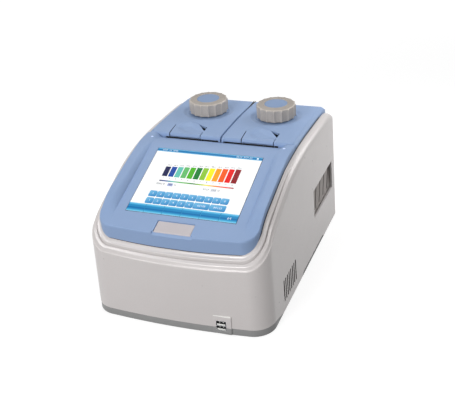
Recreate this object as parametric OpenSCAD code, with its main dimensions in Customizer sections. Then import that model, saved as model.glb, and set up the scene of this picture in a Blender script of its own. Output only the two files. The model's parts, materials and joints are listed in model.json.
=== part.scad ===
// Bench dry block heater with two sample blocks, two heated lids and a sloping touch panel.
// Frame: origin on the bench under the middle of the footprint, +X to the right of a person
// facing the screen, +Y towards the back wall, +Z up. All sizes are in millimetres.

/* [Body] */
// Width across the two side walls at the base
body_w = 270; // [250:1:290]
// Depth from the bow of the front wall to the back wall
body_d = 380; // [360:1:400]
// Plastic thickness of the housing and the blue covers
wall = 3; // [2:0.5:4]
// Radius of the two front corners seen from above
front_corner_r = 32; // [20:1:40]
// How far the front wall bows forward in its middle
front_bow = 5; // [0:0.5:8]
// Height the rubber feet lift the base off the bench
foot_h = 2; // [1:0.5:4]
// Height of the grey base strip along the front
strip_h = 13; // [8:0.5:18]
// How much each side wall leans in over one millimetre of height
side_lean = 0.02; // [0:0.005:0.04]
// Width of the double-beaded rim between the blue covers and the side walls
rim_w = 16; // [12:0.5:20]

/* [Touch panel] */
// Slope of the screen face from the horizontal, in degrees
panel_tilt = 17.5; // [10:0.5:30]
// Width of the touch glass
screen_w = 164; // [140:1:180]
// Depth of the touch glass measured level, not along the slope
screen_run = 125; // [100:1:140]
// Width of the plain plate below the screen
plate_w = 54; // [30:1:70]
// Level depth of the plain plate below the screen
plate_run = 19; // [10:1:24]

/* [Lids and knobs] */
// Sideways distance of each knob and sample block from the centre line
bay_x = 56.6; // [54:0.1:62]
// Position of the knobs along the depth
knob_y = 120.7; // [110:0.1:125]
// Knob radius over its ribs
knob_r = 31; // [22:0.5:32]
// Knob height
knob_h = 20.9; // [15:0.1:24]
// Number of finger flutes round each knob
knob_flutes = 16; // [12:1:30]
// Travel of each heated plate for the whole turn of its knob
plate_travel = 4; // [2:0.5:4]
// Width of each lid latch
latch_w = 50; // [40:1:60]
// Depth of each lid latch, front lip to the top of its arch
latch_l = 42; // [30:1:46]

/* [Sample blocks] */
// Wells across each block
wells_x = 6; // [4:1:6]
// Wells along each block
wells_y = 8; // [6:1:8]
// Distance between neighbouring wells
well_pitch = 9; // [9:0.5:10]
// Mouth diameter of a well
well_d = 6.4; // [5.5:0.1:7]
// Depth of a well
well_depth = 14; // [12:0.5:16]

/* [Hidden] */
$fn = 64;

// Clearance between covers that meet, and between fixed pieces that stand side by side.
seam = 0.8;
fit = 0.3;
// Radial clearance of a pin turning in a bore.
running = 0.06;

half_w = body_w / 2;
front_y = -body_d / 2;
back_y = body_d / 2;

// Height of the line where the blue covers meet the silver rim, against depth.
rim_line = [[-178, 121.3], [-174.8, 124.5], [-166, 134], [-155.6, 144.5], [-136, 158.5],
    [-99, 171.3], [-41, 187], [10, 192.5], [50, 193.5], [91, 192.2], [162, 188.5],
    [180, 184], [187, 179]];
// Fall of the rim from that line down to the top of the wall, against depth.
rim_fall = [[-190, 16.5], [-150, 18.5], [-117, 19.5], [-36, 15], [33, 10], [190, 10]];
// Shape of the rim as [share of its width, share of its fall]: two rounded beads with a groove.
rim_beads = [[0.08, 0.01], [0.31, 0.08], [0.43, 0.16], [0.48, 0.25], [0.5, 0.44], [0.59, 0.49],
    [0.81, 0.63], [0.94, 0.76], [0.99, 0.89], [1, 1]];
// Height of the raised shoulders beside the screen above its plane, against depth.
shoulder_rise = [[-166, 0], [-156, 1.5], [-140, 6], [-127, 8.5], [-93, 7], [-60, 5],
    [-30, 2], [-8, 1.6], [6, 3.6], [22, 8]];
// Height of the lid tops, against depth.
lid_crown = [[21, 198.2], [24, 199.6], [41, 200.2], [86, 199.4], [133, 197.3], [165, 194.8],
    [182, 193], [187, 190.4]];

rim_in = half_w - rim_w;
wall_back_h = 165;
side_edge_z = 3;
lift_y = [-25, 105];
lift_h = 4.5;

cover_x = rim_in - seam;
panel_front_y = front_y + 9.5;
panel_lean = 3.5;
panel_bow = 3;
panel_corner_r = 25;
seam_y = 20.3;
crease_x = 97;
screen_y = -147.9;
screen_z = 155.7;
screen_back_y = screen_y + screen_run;
roll_y = screen_back_y - 1;
skirt_h = 8;
glass_t = 1.8;
plate_y = -177;
plate_t = 1.2;
light_x = 104.5;
light_y = 4;
light_r = 2;

lid_front_y = seam_y + 0.9;
lid_back_y = 186.5;
lid_in_x = 0.7;
lid_foot_z = 172;
lid_edge_drop = 5;
dish_r = 41;
dish_floor_r = 33;
dish_depth = 1.6;
hinge_y = 176;
hinge_z = 181;
hinge_pin_r = 2.5;
hinge_x = 34;
lug_r = 6;
lug_t = 4;
knuckle_w = 7;

total_h = 219.6;
knob_z = total_h - knob_h;
flute_r = 9;
flute_depth = 2;
cap_r = 18.6;
cap_t = 1.2;
spindle_r = 6;
screw_r = 4;
boss_r = 11;
boss_foot_z = 188;

deck_z = 163;
deck_t = 3;
deck_top = deck_z + deck_t;
deck_y = [14, 186];
block_top_z = 172;
block_h = 22;
block_edge = 4;
block_w = (wells_x - 1) * well_pitch + well_d + 2 * block_edge;
block_l = (wells_y - 1) * well_pitch + well_d + 2 * block_edge;
block_y = 117;
block_flange = 4;
peltier_t = 4;
sink_base_t = 10;
sink_h = 42;
sink_w = 78;
sink_l = 100;
sink_fins = 14;
fan_w = 80;
fan_t = 25;
fan_bore_r = 37.5;
fan_hub_r = 16;
fan_top_z = block_top_z - block_h - peltier_t - sink_h;
fan_z = fan_top_z - fan_t;
heater_w = 66;
heater_l = 86;
heater_t = 6;
heater_z = block_top_z + plate_travel + 0.4;

latch_y = 30;
latch_z = 190;
latch_pin_r = 2;
latch_t = 5;
latch_foot_z = 174;
latch_x = 58;

vent_y = [55, 165];
vent_z = [60, 107];
vent_blades = 4;
blade_l = 10;
blade_turn = 75;
slot_y = [-113, -57];
slot_z = [16, 50.5];
slots = 8;
slot_w = 3.6;

port_x = [54, 81];
port_z = [4, 30.5];
port_floor_y = front_y + 3.8;
usb_x = 66.1;
usb_w = 15.4;
usb_z = [7.2, 22.4];
usb_y = [front_y + 3.1, front_y + 24];

tray_top_z = 5;
screw_head_r = 3.2;
screw_in = 17;
screw_spots = [for (x = [screw_in - half_w, half_w - screw_in], y = [-120, 20, 140]) [x, y]];
board_z = 5.6;
board_t = 1.6;
supply_x = [23 - half_w, -10];
supply_y = [26, back_y - 18];
supply_top_z = 47;
sheet_t = 1.6;

back_x = half_w - 24;
back_z = [12, 148];
inlet_x = 57 - half_w;
inlet_z = 46;
inlet_w = 27;
inlet_h = 47;
inlet_flange = 3;
rocker_w = 18;
rocker_h = 13;
rocker_tilt = 8;
rocker_pin_r = 1.3;

function mix(a, b, t) = a + (b - a) * t;
function limit(t) = max(0, min(1, t));
function ease(t) = let (s = limit(t)) s * s * (3 - 2 * s);

// Slope of a knotted curve at its knot i.
function knot_slope(k, i) = let (a = max(i - 1, 0), b = min(i + 1, len(k) - 1))
    (k[b][1] - k[a][1]) / (k[b][0] - k[a][0]);

// Height of a smooth curve through the knots [y, z] at y.
function curve(k, y, i = 0) = i < len(k) - 2 && y > k[i + 1][0] ? curve(k, y, i + 1) :
    let (w = k[i + 1][0] - k[i][0], t = limit((y - k[i][0]) / w), q = t * t, c = q * t)
    (2 * c - 3 * q + 1) * k[i][1] + (3 * q - 2 * c) * k[i + 1][1] +
    (c - 2 * q + t) * w * knot_slope(k, i) + (c - q) * w * knot_slope(k, i + 1);

// Shape of a corner at the angle a, as shares of its two radii.
function corner(a, square) = square ?
    [min(1, sin(a) / max(cos(a), 0.001)), 1 - min(1, cos(a) / max(sin(a), 0.001))] :
    [sin(a), 1 - cos(a)];

// Steps taken along the bow, round a front corner, along a side and round a back corner.
bow_n = 5;
corner_n = 8;
side_n = 12;
rear_n = 4;
back_steps = [1, 0.66, 0.33, 0];
half_n = bow_n + corner_n + side_n + rear_n + len(back_steps) + 1;

// Right half of a plan outline, from the middle of the front round to the middle of the back.
function half_loop(hw, front, bow, r, back, rx, ry, back_w, square = false) = concat(
    [for (i = [0 : bow_n - 1]) [(hw - r) * i / bow_n, front + bow * pow(i / bow_n, 2)]],
    [for (i = [0 : corner_n]) let (c = corner(90 * i / corner_n, square))
        [hw - r + r * c[0], front + bow + r * c[1]]],
    [for (i = [1 : side_n - 1]) [hw, mix(front + bow + r, back - ry, i / side_n)]],
    [for (i = [0 : rear_n]) let (c = corner(90 - 90 * i / rear_n, square))
        [hw - rx + rx * c[0], back - ry * c[1]]],
    [for (f = back_steps) [back_w * f, back]]);

// Both halves of an outline, as one closed loop that starts at the middle of the front.
function loop(h) = concat(h, [for (i = [len(h) - 2 : -1 : 1]) [-h[i][0], h[i][1]]]);

// Share of the way round from the side (0) to the back wall (1) for step i of a loop.
function backness(i) = let (n = 2 * half_n - 2, j = min(i, n - i))
    limit((j - bow_n - corner_n - side_n) / rear_n);

// Joins a stack of rings of points into one solid. The last ring joins back to the first.
module skin(rings) {
    n = len(rings[0]);
    m = len(rings);
    polyhedron(points = [for (r = rings) each r], faces = [
        for (i = [0 : m - 1], j = [0 : n - 1])
            let (a = i * n + j, b = i * n + (j + 1) % n,
                c = (i + 1) % m * n + (j + 1) % n, d = (i + 1) % m * n + j)
            each [[a, c, b], [a, d, c]]]);
}

// Rings taken from the last to the first, which turns their surface round.
function turned(rings) = [for (i = [len(rings) - 1 : -1 : 0]) rings[i]];

// Draws a shape made for the right side there (side 1) or mirrored to the left side (-1).
module on_side(side) {
    mirror([side < 0 ? 1 : 0, 0, 0])
        children();
}

module both_sides() {
    for (side = [-1, 1])
        on_side(side)
            children();
}

// Extrudes a side profile drawn as [y, z] across the width from x0 to x1.
module across(x0, x1, points) {
    translate([x0, 0, 0])
        rotate([90, 0, 90])
            linear_extrude(x1 - x0)
                polygon(points);
}

module box(low, high) {
    translate(low)
        cube(high - low);
}

// Rod along X between two points.
module rod_x(x0, x1, y, z, r) {
    translate([x0, y, z])
        rotate([0, 90, 0])
            cylinder(h = x1 - x0, r = r);
}

outer_loop = loop(half_loop(half_w, front_y, front_bow, front_corner_r, back_y, 10, 10, 118.7));
inner_loop = loop(half_loop(rim_in, panel_front_y + panel_lean - seam, panel_bow,
    panel_corner_r + seam, back_y - wall, 0, 7, 118.6));
steps = [for (i = [0 : len(outer_loop) - 1]) i];

function lean(z) = 1 - side_lean * (z - foot_h) / half_w;
function leaning(p, z) = [p[0] * lean(z), p[1]];
function on_back_wall(i) = backness(i) >= 1 && abs(outer_loop[i][0]) < 119;
function rim_top(i) = on_back_wall(i) ? wall_back_h : curve(rim_line, inner_loop[i][1]);
function wall_top(i) = on_back_wall(i) ? wall_back_h - 1 :
    rim_top(i) - curve(rim_fall, inner_loop[i][1]);

// Bottom edge of the housing wall: above the strip in front, low and lifted along the sides.
function wall_foot(p) =
    mix(strip_h, side_edge_z, ease((p[1] - front_y - front_corner_r) / 44)) +
    lift_h * ease((p[1] - lift_y[0]) / 9) * ease((lift_y[1] - p[1]) / 9);

// A point of the outer wall moved inwards by the depth d.
function inward(p, d) = let (s = 1 - d / half_w, t = 1 - d / back_y) [p[0] * s, p[1] * t];

function rim_ring(u, v) = [for (i = steps)
    let (z = rim_top(i) - v * (rim_top(i) - wall_top(i)), o = leaning(outer_loop[i], z))
    [mix(inner_loop[i][0], o[0], u), mix(inner_loop[i][1], o[1], u), z]];

// Where the inside lip below the rim ends: short beside the panel, down to the deck behind.
function lip_foot(i) = mix(mix(rim_top(i) - skirt_h, deck_z, ease((inner_loop[i][1] - 4) / 12)),
    140, backness(i));

module upper_housing() {
    color("Silver")
        difference() {
            skin(turned(concat(
                [[for (i = steps) [inner_loop[i][0], inner_loop[i][1], lip_foot(i)]],
                [for (i = steps) [inner_loop[i][0], inner_loop[i][1], rim_top(i) - 0.4]]],
                [for (b = rim_beads) rim_ring(b[0], b[1])],
                [for (t = [0.2, 0.4, 0.6, 0.8]) [for (i = steps) let (
                    z = mix(wall_top(i), wall_foot(outer_loop[i]), t),
                    p = leaning(outer_loop[i], z)) [p[0], p[1], z]]],
                [[for (i = steps) let (z = wall_foot(outer_loop[i]), p = leaning(outer_loop[i], z))
                    [p[0], p[1], z]],
                [for (i = steps) let (z = wall_foot(outer_loop[i]),
                    p = inward(leaning(outer_loop[i], z), wall)) [p[0], p[1], z]],
                [for (i = steps) let (z = mix(wall_top(i) - 5, 100, backness(i)),
                    p = inward(leaning(outer_loop[i], z), wall)) [p[0], p[1], z]],
                [for (i = steps) let (s = 1 + 2.4 / half_w * (1 - backness(i)))
                    [inner_loop[i][0] * s, inner_loop[i][1] * mix(s, 1, limit(
                        inner_loop[i][1] / back_y)), lip_foot(i) - 20 * backness(i)]]])));
            both_sides() {
                box([half_w - 12, vent_y[0], vent_z[0]], [half_w + 1, vent_y[1], vent_z[1]]);
                slot_row();
            }
            port_recess();
            box([-back_x, back_y - wall - 1, back_z[0]], [back_x, back_y + 1, back_z[1]]);
        }
}

module slot_row() {
    pitch = (slot_y[1] - slot_y[0] - slot_w) / (slots - 1);
    for (i = [0 : slots - 1])
        translate([half_w - 12, slot_y[0] + i * pitch, slot_z[0]])
            cube([13, slot_w, slot_z[1] - slot_z[0]]);
}

// Recess in the front wall round the data ports, with an opening through its floor.
module port_recess() {
    box([port_x[0], front_y - 1, port_z[0]], [port_x[1], port_floor_y, port_z[1]]);
    box([usb_x - usb_w / 2 - fit, front_y - 1, usb_z[0] - fit],
        [usb_x + usb_w / 2 + fit, front_y + 20, usb_z[1] + fit]);
}

tray_loop = [for (p = outer_loop) leaning(p, tray_top_z)];

module base_tray() {
    color("DimGray")
        difference() {
            union() {
                skin([
                    [for (p = tray_loop) let (q = inward(p, 1.5)) [q[0], q[1], foot_h]],
                    [for (p = tray_loop) let (q = inward(p, 0.4)) [q[0], q[1], foot_h + 0.9]],
                    [for (p = tray_loop) let (q = inward(p, 0.4))
                        [q[0], q[1], max(foot_h + 0.9, wall_foot(p) - fit - lift_h *
                            ease((p[1] - lift_y[0]) / 9) * ease((lift_y[1] - p[1]) / 9))]],
                    [for (p = tray_loop) let (q = inward(p, wall + 0.4))
                        [q[0], q[1], max(foot_h + 1, wall_foot(p) - fit - lift_h *
                            ease((p[1] - lift_y[0]) / 9) * ease((lift_y[1] - p[1]) / 9))]],
                    [for (p = tray_loop) let (q = inward(p, wall + 0.5)) [q[0], q[1], foot_h]]]);
                translate([0, 0, foot_h])
                    linear_extrude(tray_top_z - foot_h)
                        polygon([for (p = tray_loop) inward(p, wall + 0.3)]);
            }
            port_recess();
            for (p = screw_spots)
                translate([p[0], p[1], foot_h - 1])
                    cylinder(h = 10, r = screw_head_r);
        }
}

module rubber_feet() {
    color("Black")
        for (x = [-104, 104], y = [-150, 160])
            translate([x, y, 0])
                cylinder(h = foot_h, r = 10);
}

panel_slope = tan(panel_tilt);

// Height of the screen plane, rolling over behind the screen to meet the lids.
function panel_plane(y) = y <= roll_y ? screen_z + (y - screen_y) * panel_slope :
    let (z0 = screen_z + (roll_y - screen_y) * panel_slope, w = seam_y - roll_y,
        t = (y - roll_y) / w, q = t * t, c = q * t)
    (2 * c - 3 * q + 1) * z0 + (3 * q - 2 * c) * 191.6 + (c - 2 * q + t) * w * panel_slope -
    (c - q) * w * 0.42;
function panel_top(x, y) = panel_plane(y) +
    curve(shoulder_rise, y) * ease((abs(x) - crease_x) / 12);

panel_edge = loop(half_loop(cover_x, panel_front_y, panel_bow, panel_corner_r, seam_y, 3, 3, 110));
screen_edge = loop(half_loop(screen_w / 2 + fit, screen_y - fit, 0, 22, screen_back_y + fit,
    20, 20, 58, true));

// A ring of panel points the share f of the way from its edge in to the screen, lowered by d.
function panel_ring(f, d) = [for (i = steps)
    let (p = mix(panel_edge[i], screen_edge[i], f)) [p[0], p[1], panel_top(p[0], p[1]) - d]];
// A ring of panel points at the edge, moved in by d and lowered more on the sides.
function panel_rim(d, side_d, ends_d) = [for (i = steps)
    let (p = inward(panel_edge[i], d), s = ease((abs(panel_edge[i][0]) - 96) / 20))
    [p[0], p[1], panel_top(p[0], p[1]) - mix(ends_d, side_d, s)]];
function panel_skirt(d) = [for (i = steps)
    let (e = panel_edge[i], p = inward(e, d), f = limit((panel_front_y + 28 - e[1]) / 28))
    [p[0], p[1] + panel_lean * f, curve(rim_line, e[1] + panel_lean * f) - skirt_h + 2]];

module control_panel() {
    color("LightSteelBlue")
        difference() {
            skin([panel_skirt(1.1), panel_rim(0, 4.2, 1.6), panel_rim(1, 1.6, 0.4),
                panel_ring(0.14, 0), panel_ring(0.27, 0), panel_ring(0.42, 0),
                panel_ring(0.59, 0), panel_ring(1, 0), panel_ring(1, wall),
                panel_ring(0.56, wall), panel_ring(0.2, wall + 1.2), panel_skirt(3.6)]);
            panel_slot(0);
            both_sides()
                translate([light_x, light_y, 180])
                    cylinder(h = 30, r = light_r + 0.1);
        }
}

// Prism through the panel face below the screen for the plain plate, shrunk by d.
module panel_slot(d) {
    x = plate_w / 2 - d;
    z = panel_plane(plate_y);
    rise = plate_run * panel_slope;
    across(-x, x, [[plate_y + d, z - plate_t - 0.5], [plate_y + d, z + 4],
        [plate_y + plate_run - d, z + rise + 4], [plate_y + plate_run - d,
        z + rise - plate_t - 0.5]]);
}

module panel_plate() {
    z = panel_plane(plate_y);
    rise = plate_run * panel_slope;
    x = plate_w / 2 - fit;
    color("Gainsboro")
        across(-x, x, [[plate_y + fit, z - plate_t - 0.2], [plate_y + fit, z - 0.3],
            [plate_y + plate_run - fit, z + rise - 0.5],
            [plate_y + plate_run - fit, z + rise - plate_t - 0.4]]);
}

// Slab parallel to the screen, from the height a to the height b above the screen plane.
module screen_slab(hw, y0, y1, a, b) {
    across(-hw, hw, [[y0, panel_plane(y0) + a], [y0, panel_plane(y0) + b],
        [y1, panel_plane(y1) + b], [y1, panel_plane(y1) + a]]);
}

module touch_glass() {
    color("SteelBlue")
        screen_slab(screen_w / 2, screen_y, screen_back_y, -glass_t, 0);
}

module display_module() {
    color("DarkGray")
        difference() {
            screen_slab(screen_w / 2 - 2, screen_y + 2, screen_back_y - 2, -glass_t - 7,
                -glass_t - 0.1);
            screen_slab(screen_w / 2 - 12, screen_y + 12, screen_back_y - 12, -glass_t - 8,
                -glass_t - 4);
        }
}

// One round indicator lens, flush with the top of the panel shoulder.
module light_pipe(x) {
    color("White")
        translate([x, light_y, 184])
            cylinder(h = panel_top(x, light_y) - 183.8, r = light_r);
}

module status_light_left() {
    light_pipe(-light_x);
}

module status_light_right() {
    light_pipe(light_x);
}

module data_ports() {
    color("Silver")
        difference() {
            box([usb_x - usb_w / 2, usb_y[0], usb_z[0]], [usb_x + usb_w / 2, usb_y[1], usb_z[1]]);
            for (z = [usb_z[0] + 0.9, usb_z[0] + 8.4])
                box([usb_x - usb_w / 2 + 1, usb_y[0] - 1, z],
                    [usb_x + usb_w / 2 - 1, usb_y[1] - 3, z + 5.9]);
        }
}

module port_tongues() {
    color("Black")
        for (z = [usb_z[0] + 4.4, usb_z[0] + 11.9])
            box([usb_x - 5.8, usb_y[0] + 1, z], [usb_x + 5.8, usb_y[1] - 3, z + 2]);
}

module main_board() {
    color("DarkGreen")
        union() {
            box([-100, front_y + 20, board_z], [100, -30, board_z + board_t]);
            for (x = [-96, 96], y = [-160, -36])
                translate([x, y, tray_top_z - 0.05])
                    cylinder(h = 2, r = 3.5);
            box([-70, -110, board_z + 1], [-42, -82, board_z + 3.4]);
            box([-20, -120, board_z + 1], [10, -90, board_z + 12]);
            box([-60, -60, board_z + 1], [-10, -48, board_z + 9]);
            for (x = [30, 46, 62])
                translate([x, -60, board_z + 1])
                    cylinder(h = 16, r = 6);
        }
}

module power_supply() {
    color("LightGray")
        difference() {
            box([supply_x[0], supply_y[0], tray_top_z],
                [supply_x[1], supply_y[1], supply_top_z]);
            box([supply_x[0] + sheet_t, supply_y[0] + sheet_t, tray_top_z + sheet_t],
                [supply_x[1] - sheet_t, supply_y[1] - sheet_t, supply_top_z - sheet_t]);
            for (i = [0 : 8])
                translate([mix(supply_x[0], supply_x[1], (i + 1.5) / 11.3), supply_y[0] - 2, 14])
                    cube([4, 6, 24]);
        }
}

module driver_board() {
    color("DarkGreen")
        union() {
            box([10, 30, board_z + 4], [half_w - 23, back_y - 22, board_z + 4 + board_t]);
            for (x = [16, half_w - 29], y = [36, back_y - 28])
                translate([x, y, tray_top_z - 0.05])
                    cylinder(h = 5, r = 3.5);
            for (y = [48, 78, 108, 138])
                box([22, y, board_z + 5], [58, y + 18, board_z + 30]);
            for (y = [50, 76, 102, 128])
                translate([86, y, board_z + 5])
                    cylinder(h = 24, r = 9);
        }
}

module deck() {
    x = rim_in - 0.15;
    color("DarkSlateGray")
        difference() {
            box([-x, deck_y[0], deck_z], [x, deck_y[1], deck_top]);
            both_sides()
                box([bay_x - block_w / 2 - 1, block_y - block_l / 2 - 1, deck_z - 1],
                    [bay_x + block_w / 2 + 1, block_y + block_l / 2 + 1, deck_top + 1]);
        }
}

module well_block(x) {
    color("LightGray")
        translate([x, block_y, 0])
            difference() {
                union() {
                    box([-block_w / 2, -block_l / 2, block_top_z - block_h],
                        [block_w / 2, block_l / 2, block_top_z]);
                    box([-block_w / 2 - block_flange, -block_l / 2 - block_flange, deck_top],
                        [block_w / 2 + block_flange, block_l / 2 + block_flange, deck_top + 2.5]);
                }
                for (i = [0 : wells_x - 1], j = [0 : wells_y - 1])
                    translate([(i - (wells_x - 1) / 2) * well_pitch,
                        (j - (wells_y - 1) / 2) * well_pitch, block_top_z - well_depth]) {
                        cylinder(h = well_depth + 0.1, r1 = 1.5, r2 = well_d / 2);
                        translate([0, 0, well_depth - 0.6])
                            cylinder(h = 1, r1 = well_d / 2, r2 = well_d / 2 + 0.9);
                    }
            }
}

module well_block_left() {
    well_block(-bay_x);
}

module well_block_right() {
    well_block(bay_x);
}

module peltier_module(x) {
    z = block_top_z - block_h;
    color("Ivory")
        translate([x, block_y, 0])
            union() {
                box([-block_w / 2 + 1, -block_l / 2 + 1, z - peltier_t],
                    [block_w / 2 - 1, block_l / 2 - 1, z - peltier_t + 1]);
                box([-block_w / 2 + 3, -block_l / 2 + 3, z - peltier_t + 1],
                    [block_w / 2 - 3, block_l / 2 - 3, z - 1]);
                box([-block_w / 2 + 1, -block_l / 2 + 1, z - 1],
                    [block_w / 2 - 1, block_l / 2 - 1, z]);
            }
}

module peltier_left() {
    peltier_module(-bay_x);
}

module peltier_right() {
    peltier_module(bay_x);
}

module heat_sink(x) {
    fin_t = 1.6;
    pitch = (sink_w - fin_t) / (sink_fins - 1);
    color("DimGray")
        translate([x, block_y, fan_top_z])
            union() {
                box([-sink_w / 2, -sink_l / 2, sink_h - sink_base_t],
                    [sink_w / 2, sink_l / 2, sink_h]);
                for (i = [0 : sink_fins - 1])
                    box([-sink_w / 2 + i * pitch, -sink_l / 2, 0],
                        [-sink_w / 2 + i * pitch + fin_t, sink_l / 2, sink_h - sink_base_t + 1]);
            }
}

module heat_sink_left() {
    heat_sink(-bay_x);
}

module heat_sink_right() {
    heat_sink(bay_x);
}

module fan_frame(x) {
    color("Black")
        translate([x, block_y, fan_z])
            union() {
                difference() {
                    box([-fan_w / 2, -fan_w / 2, 0], [fan_w / 2, fan_w / 2, fan_t - 0.05]);
                    translate([0, 0, 4])
                        cylinder(h = fan_t, r = fan_bore_r);
                    for (a = [0 : 90 : 270])
                        rotate([0, 0, a])
                            fan_opening();
                    for (i = [-1, 1], j = [-1, 1])
                        translate([i * (fan_w / 2 - 5), j * (fan_w / 2 - 5), -1])
                            cylinder(h = fan_t + 2, r = 2.2);
                }
                translate([0, 0, 3])
                    cylinder(h = 9, r = 4);
            }
}

// One of the four openings between the bars that carry the fan's hub.
module fan_opening() {
    intersection() {
        difference() {
            translate([0, 0, -1])
                cylinder(h = 6, r = fan_bore_r);
            translate([0, 0, -2])
                cylinder(h = 8, r = fan_hub_r);
        }
        rotate([0, 0, 45])
            box([2, 2, -1], [fan_w, fan_w, 5]);
    }
}

module fan_frame_left() {
    fan_frame(-bay_x);
}

module fan_frame_right() {
    fan_frame(bay_x);
}

module fan_rotor(x) {
    color("DarkSlateGray")
        translate([x, block_y, fan_z + 5])
            difference() {
                union() {
                    cylinder(h = 18, r = fan_hub_r);
                    for (a = [0 : 360 / 7 : 359])
                        rotate([0, 0, a])
                            translate([fan_hub_r - 2, 0, 9])
                                rotate([32, 0, 0])
                                    translate([0, -10, -0.8])
                                        cube([fan_bore_r - fan_hub_r, 20, 1.6]);
                }
                translate([0, 0, -1])
                    cylinder(h = 9, r = 4 + running);
            }
}

module fan_rotor_left() {
    fan_rotor(-bay_x);
}

module fan_rotor_right() {
    fan_rotor(bay_x);
}

// Row of upright louvre blades behind the side opening, in a thin frame.
module louvre() {
    x0 = half_w * lean(vent_z[1] + 4) - wall - 0.1;
    pitch = (vent_y[1] - vent_y[0]) / vent_blades;
    color("Gray")
        union() {
            difference() {
                box([x0 - 2, vent_y[0] - 4, vent_z[0] - 4], [x0, vent_y[1] + 4, vent_z[1] + 4]);
                box([x0 - 3, vent_y[0] + 1, vent_z[0] + 1], [x0 + 1, vent_y[1] - 1, vent_z[1] - 1]);
            }
            for (i = [0 : vent_blades - 1])
                translate([x0 - 2.6, vent_y[0] + (i + 0.3) * pitch, vent_z[0] + 0.5])
                    rotate([0, 0, -blade_turn])
                        translate([-1, -blade_l / 2, 0])
                            cube([2, blade_l, vent_z[1] - vent_z[0] - 1]);
        }
}

module side_louvre_left() {
    on_side(-1)
        louvre();
}

module side_louvre_right() {
    louvre();
}

module back_panel() {
    y = back_y - wall;
    color("Gainsboro")
        difference() {
            box([-back_x - 6, y - 2.2, back_z[0] - 5], [back_x + 6, y - 0.2, back_z[1] + 5]);
            box([inlet_x - inlet_w / 2, y - 4, inlet_z - inlet_h / 2],
                [inlet_x + inlet_w / 2, y + 1, inlet_z + inlet_h / 2]);
            for (i = [0 : 13], z = [70, 108])
                box([-16 + i * 9, y - 4, z], [-12 + i * 9, y + 1, z + 30]);
        }
}

module power_inlet() {
    y = back_y - wall - 0.2;
    z0 = inlet_z - inlet_h / 2;
    color("Black")
        difference() {
            union() {
                box([inlet_x - inlet_w / 2 - inlet_flange, y, z0 - inlet_flange],
                    [inlet_x + inlet_w / 2 + inlet_flange, y + 2.4, z0 + inlet_h + inlet_flange]);
                box([inlet_x - inlet_w / 2 + fit, y - 14, z0 + fit],
                    [inlet_x + inlet_w / 2 - fit, y + 1, z0 + inlet_h - fit]);
            }
            box([inlet_x - 12, y - 12, z0 + 2], [inlet_x + 12, y + 3, z0 + 18.5]);
            box([inlet_x - rocker_w / 2 - fit, y - 10, z0 + 31],
                [inlet_x + rocker_w / 2 + fit, y + 3, z0 + 31 + rocker_h + 1]);
            box([inlet_x - 11, y - 9, z0 + 20.8], [inlet_x + 11, y + 3, z0 + 28.6]);
            rod_x(inlet_x - 10.8, inlet_x + 10.8, rocker_y, rocker_z, rocker_pin_r);
        }
}

module inlet_pins() {
    y = back_y - wall - 0.2;
    z0 = inlet_z - inlet_h / 2;
    color("Gold")
        for (p = [[-7, 8], [7, 8], [0, 12.2]])
            box([inlet_x + p[0] - 1, y - 12, z0 + p[1] - 2.1],
                [inlet_x + p[0] + 1, y - 1.5, z0 + p[1] + 2.1]);
}

// Centre of the rocker pin, level with the face of the inlet.
rocker_z = inlet_z - inlet_h / 2 + 31 + (rocker_h + 1) / 2;
rocker_y = back_y - wall - 3;

module power_switch() {
    h = rocker_h / 2;
    color("DarkRed")
        translate([inlet_x, rocker_y, rocker_z])
            rotate([rocker_tilt, 0, 0])
                difference() {
                    across(-rocker_w / 2, rocker_w / 2, [[-4, -2.4], [-4, 2.4], [1, h - 0.4],
                        [4.4, h - 0.8], [3.4, 0], [4.4, 0.8 - h], [1, 0.4 - h]]);
                    rod_x(-20, 20, 0, 0, rocker_pin_r + running);
                }
}

module switch_pin() {
    color("Silver")
        rod_x(inlet_x - 10.8, inlet_x + 10.8, rocker_y, rocker_z, rocker_pin_r);
}

module fuse_drawer() {
    y = back_y - wall - 0.2;
    z0 = inlet_z - inlet_h / 2;
    color("DimGray")
        union() {
            box([inlet_x - 10.7, y - 8.8, z0 + 21.1], [inlet_x + 10.7, y + 2.4, z0 + 28.3]);
            box([inlet_x - 10.7, y + 2, z0 + 26], [inlet_x + 10.7, y + 3, z0 + 27.2]);
        }
}

// Steps along each edge of a lid, and the closed loop of a lid shrunk by d.
edge_n = 9;

function lid_loop(d) = let (a = [lid_in_x + d, lid_front_y + d], b = [cover_x - d, lid_back_y - d])
    [for (e = [0 : 3], i = [0 : edge_n - 1]) let (t = i / edge_n)
        e == 0 ? [mix(a[0], b[0], t), a[1]] :
        e == 1 ? [b[0], mix(a[1], b[1], t)] :
        e == 2 ? [mix(b[0], a[0], t), b[1]] : [a[0], mix(b[1], a[1], t)]];

function lid_ring(d, drop) = [for (p = lid_loop(d)) [p[0], p[1], curve(lid_crown, p[1]) - drop]];
// The same ring lowered only along the outer side, where the lid edge is chamfered.
function lid_edge(d, side_drop, drop) = [for (p = lid_loop(d))
    [p[0], p[1], curve(lid_crown, p[1]) - (p[0] > cover_x - 4 ? side_drop : drop)]];
function lid_level(d, z) = [for (p = lid_loop(d)) [p[0], p[1], z + 5 * ease((p[1] - 160) / 20)]];
// Round ring of radius r about the knob axis, lined up with the points of the lid edge.
function dish_ring(r, drop) = [for (p = lid_loop(6))
    let (v = p - [bay_x, knob_y], q = [bay_x, knob_y] + v / norm(v) * r)
    [q[0], q[1], curve(lid_crown, q[1]) - drop]];
function between(a, b, t, drop) = [for (i = [0 : len(a) - 1]) let (p = mix(a[i], b[i], t))
    [p[0], p[1], curve(lid_crown, p[1]) - drop]];

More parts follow.
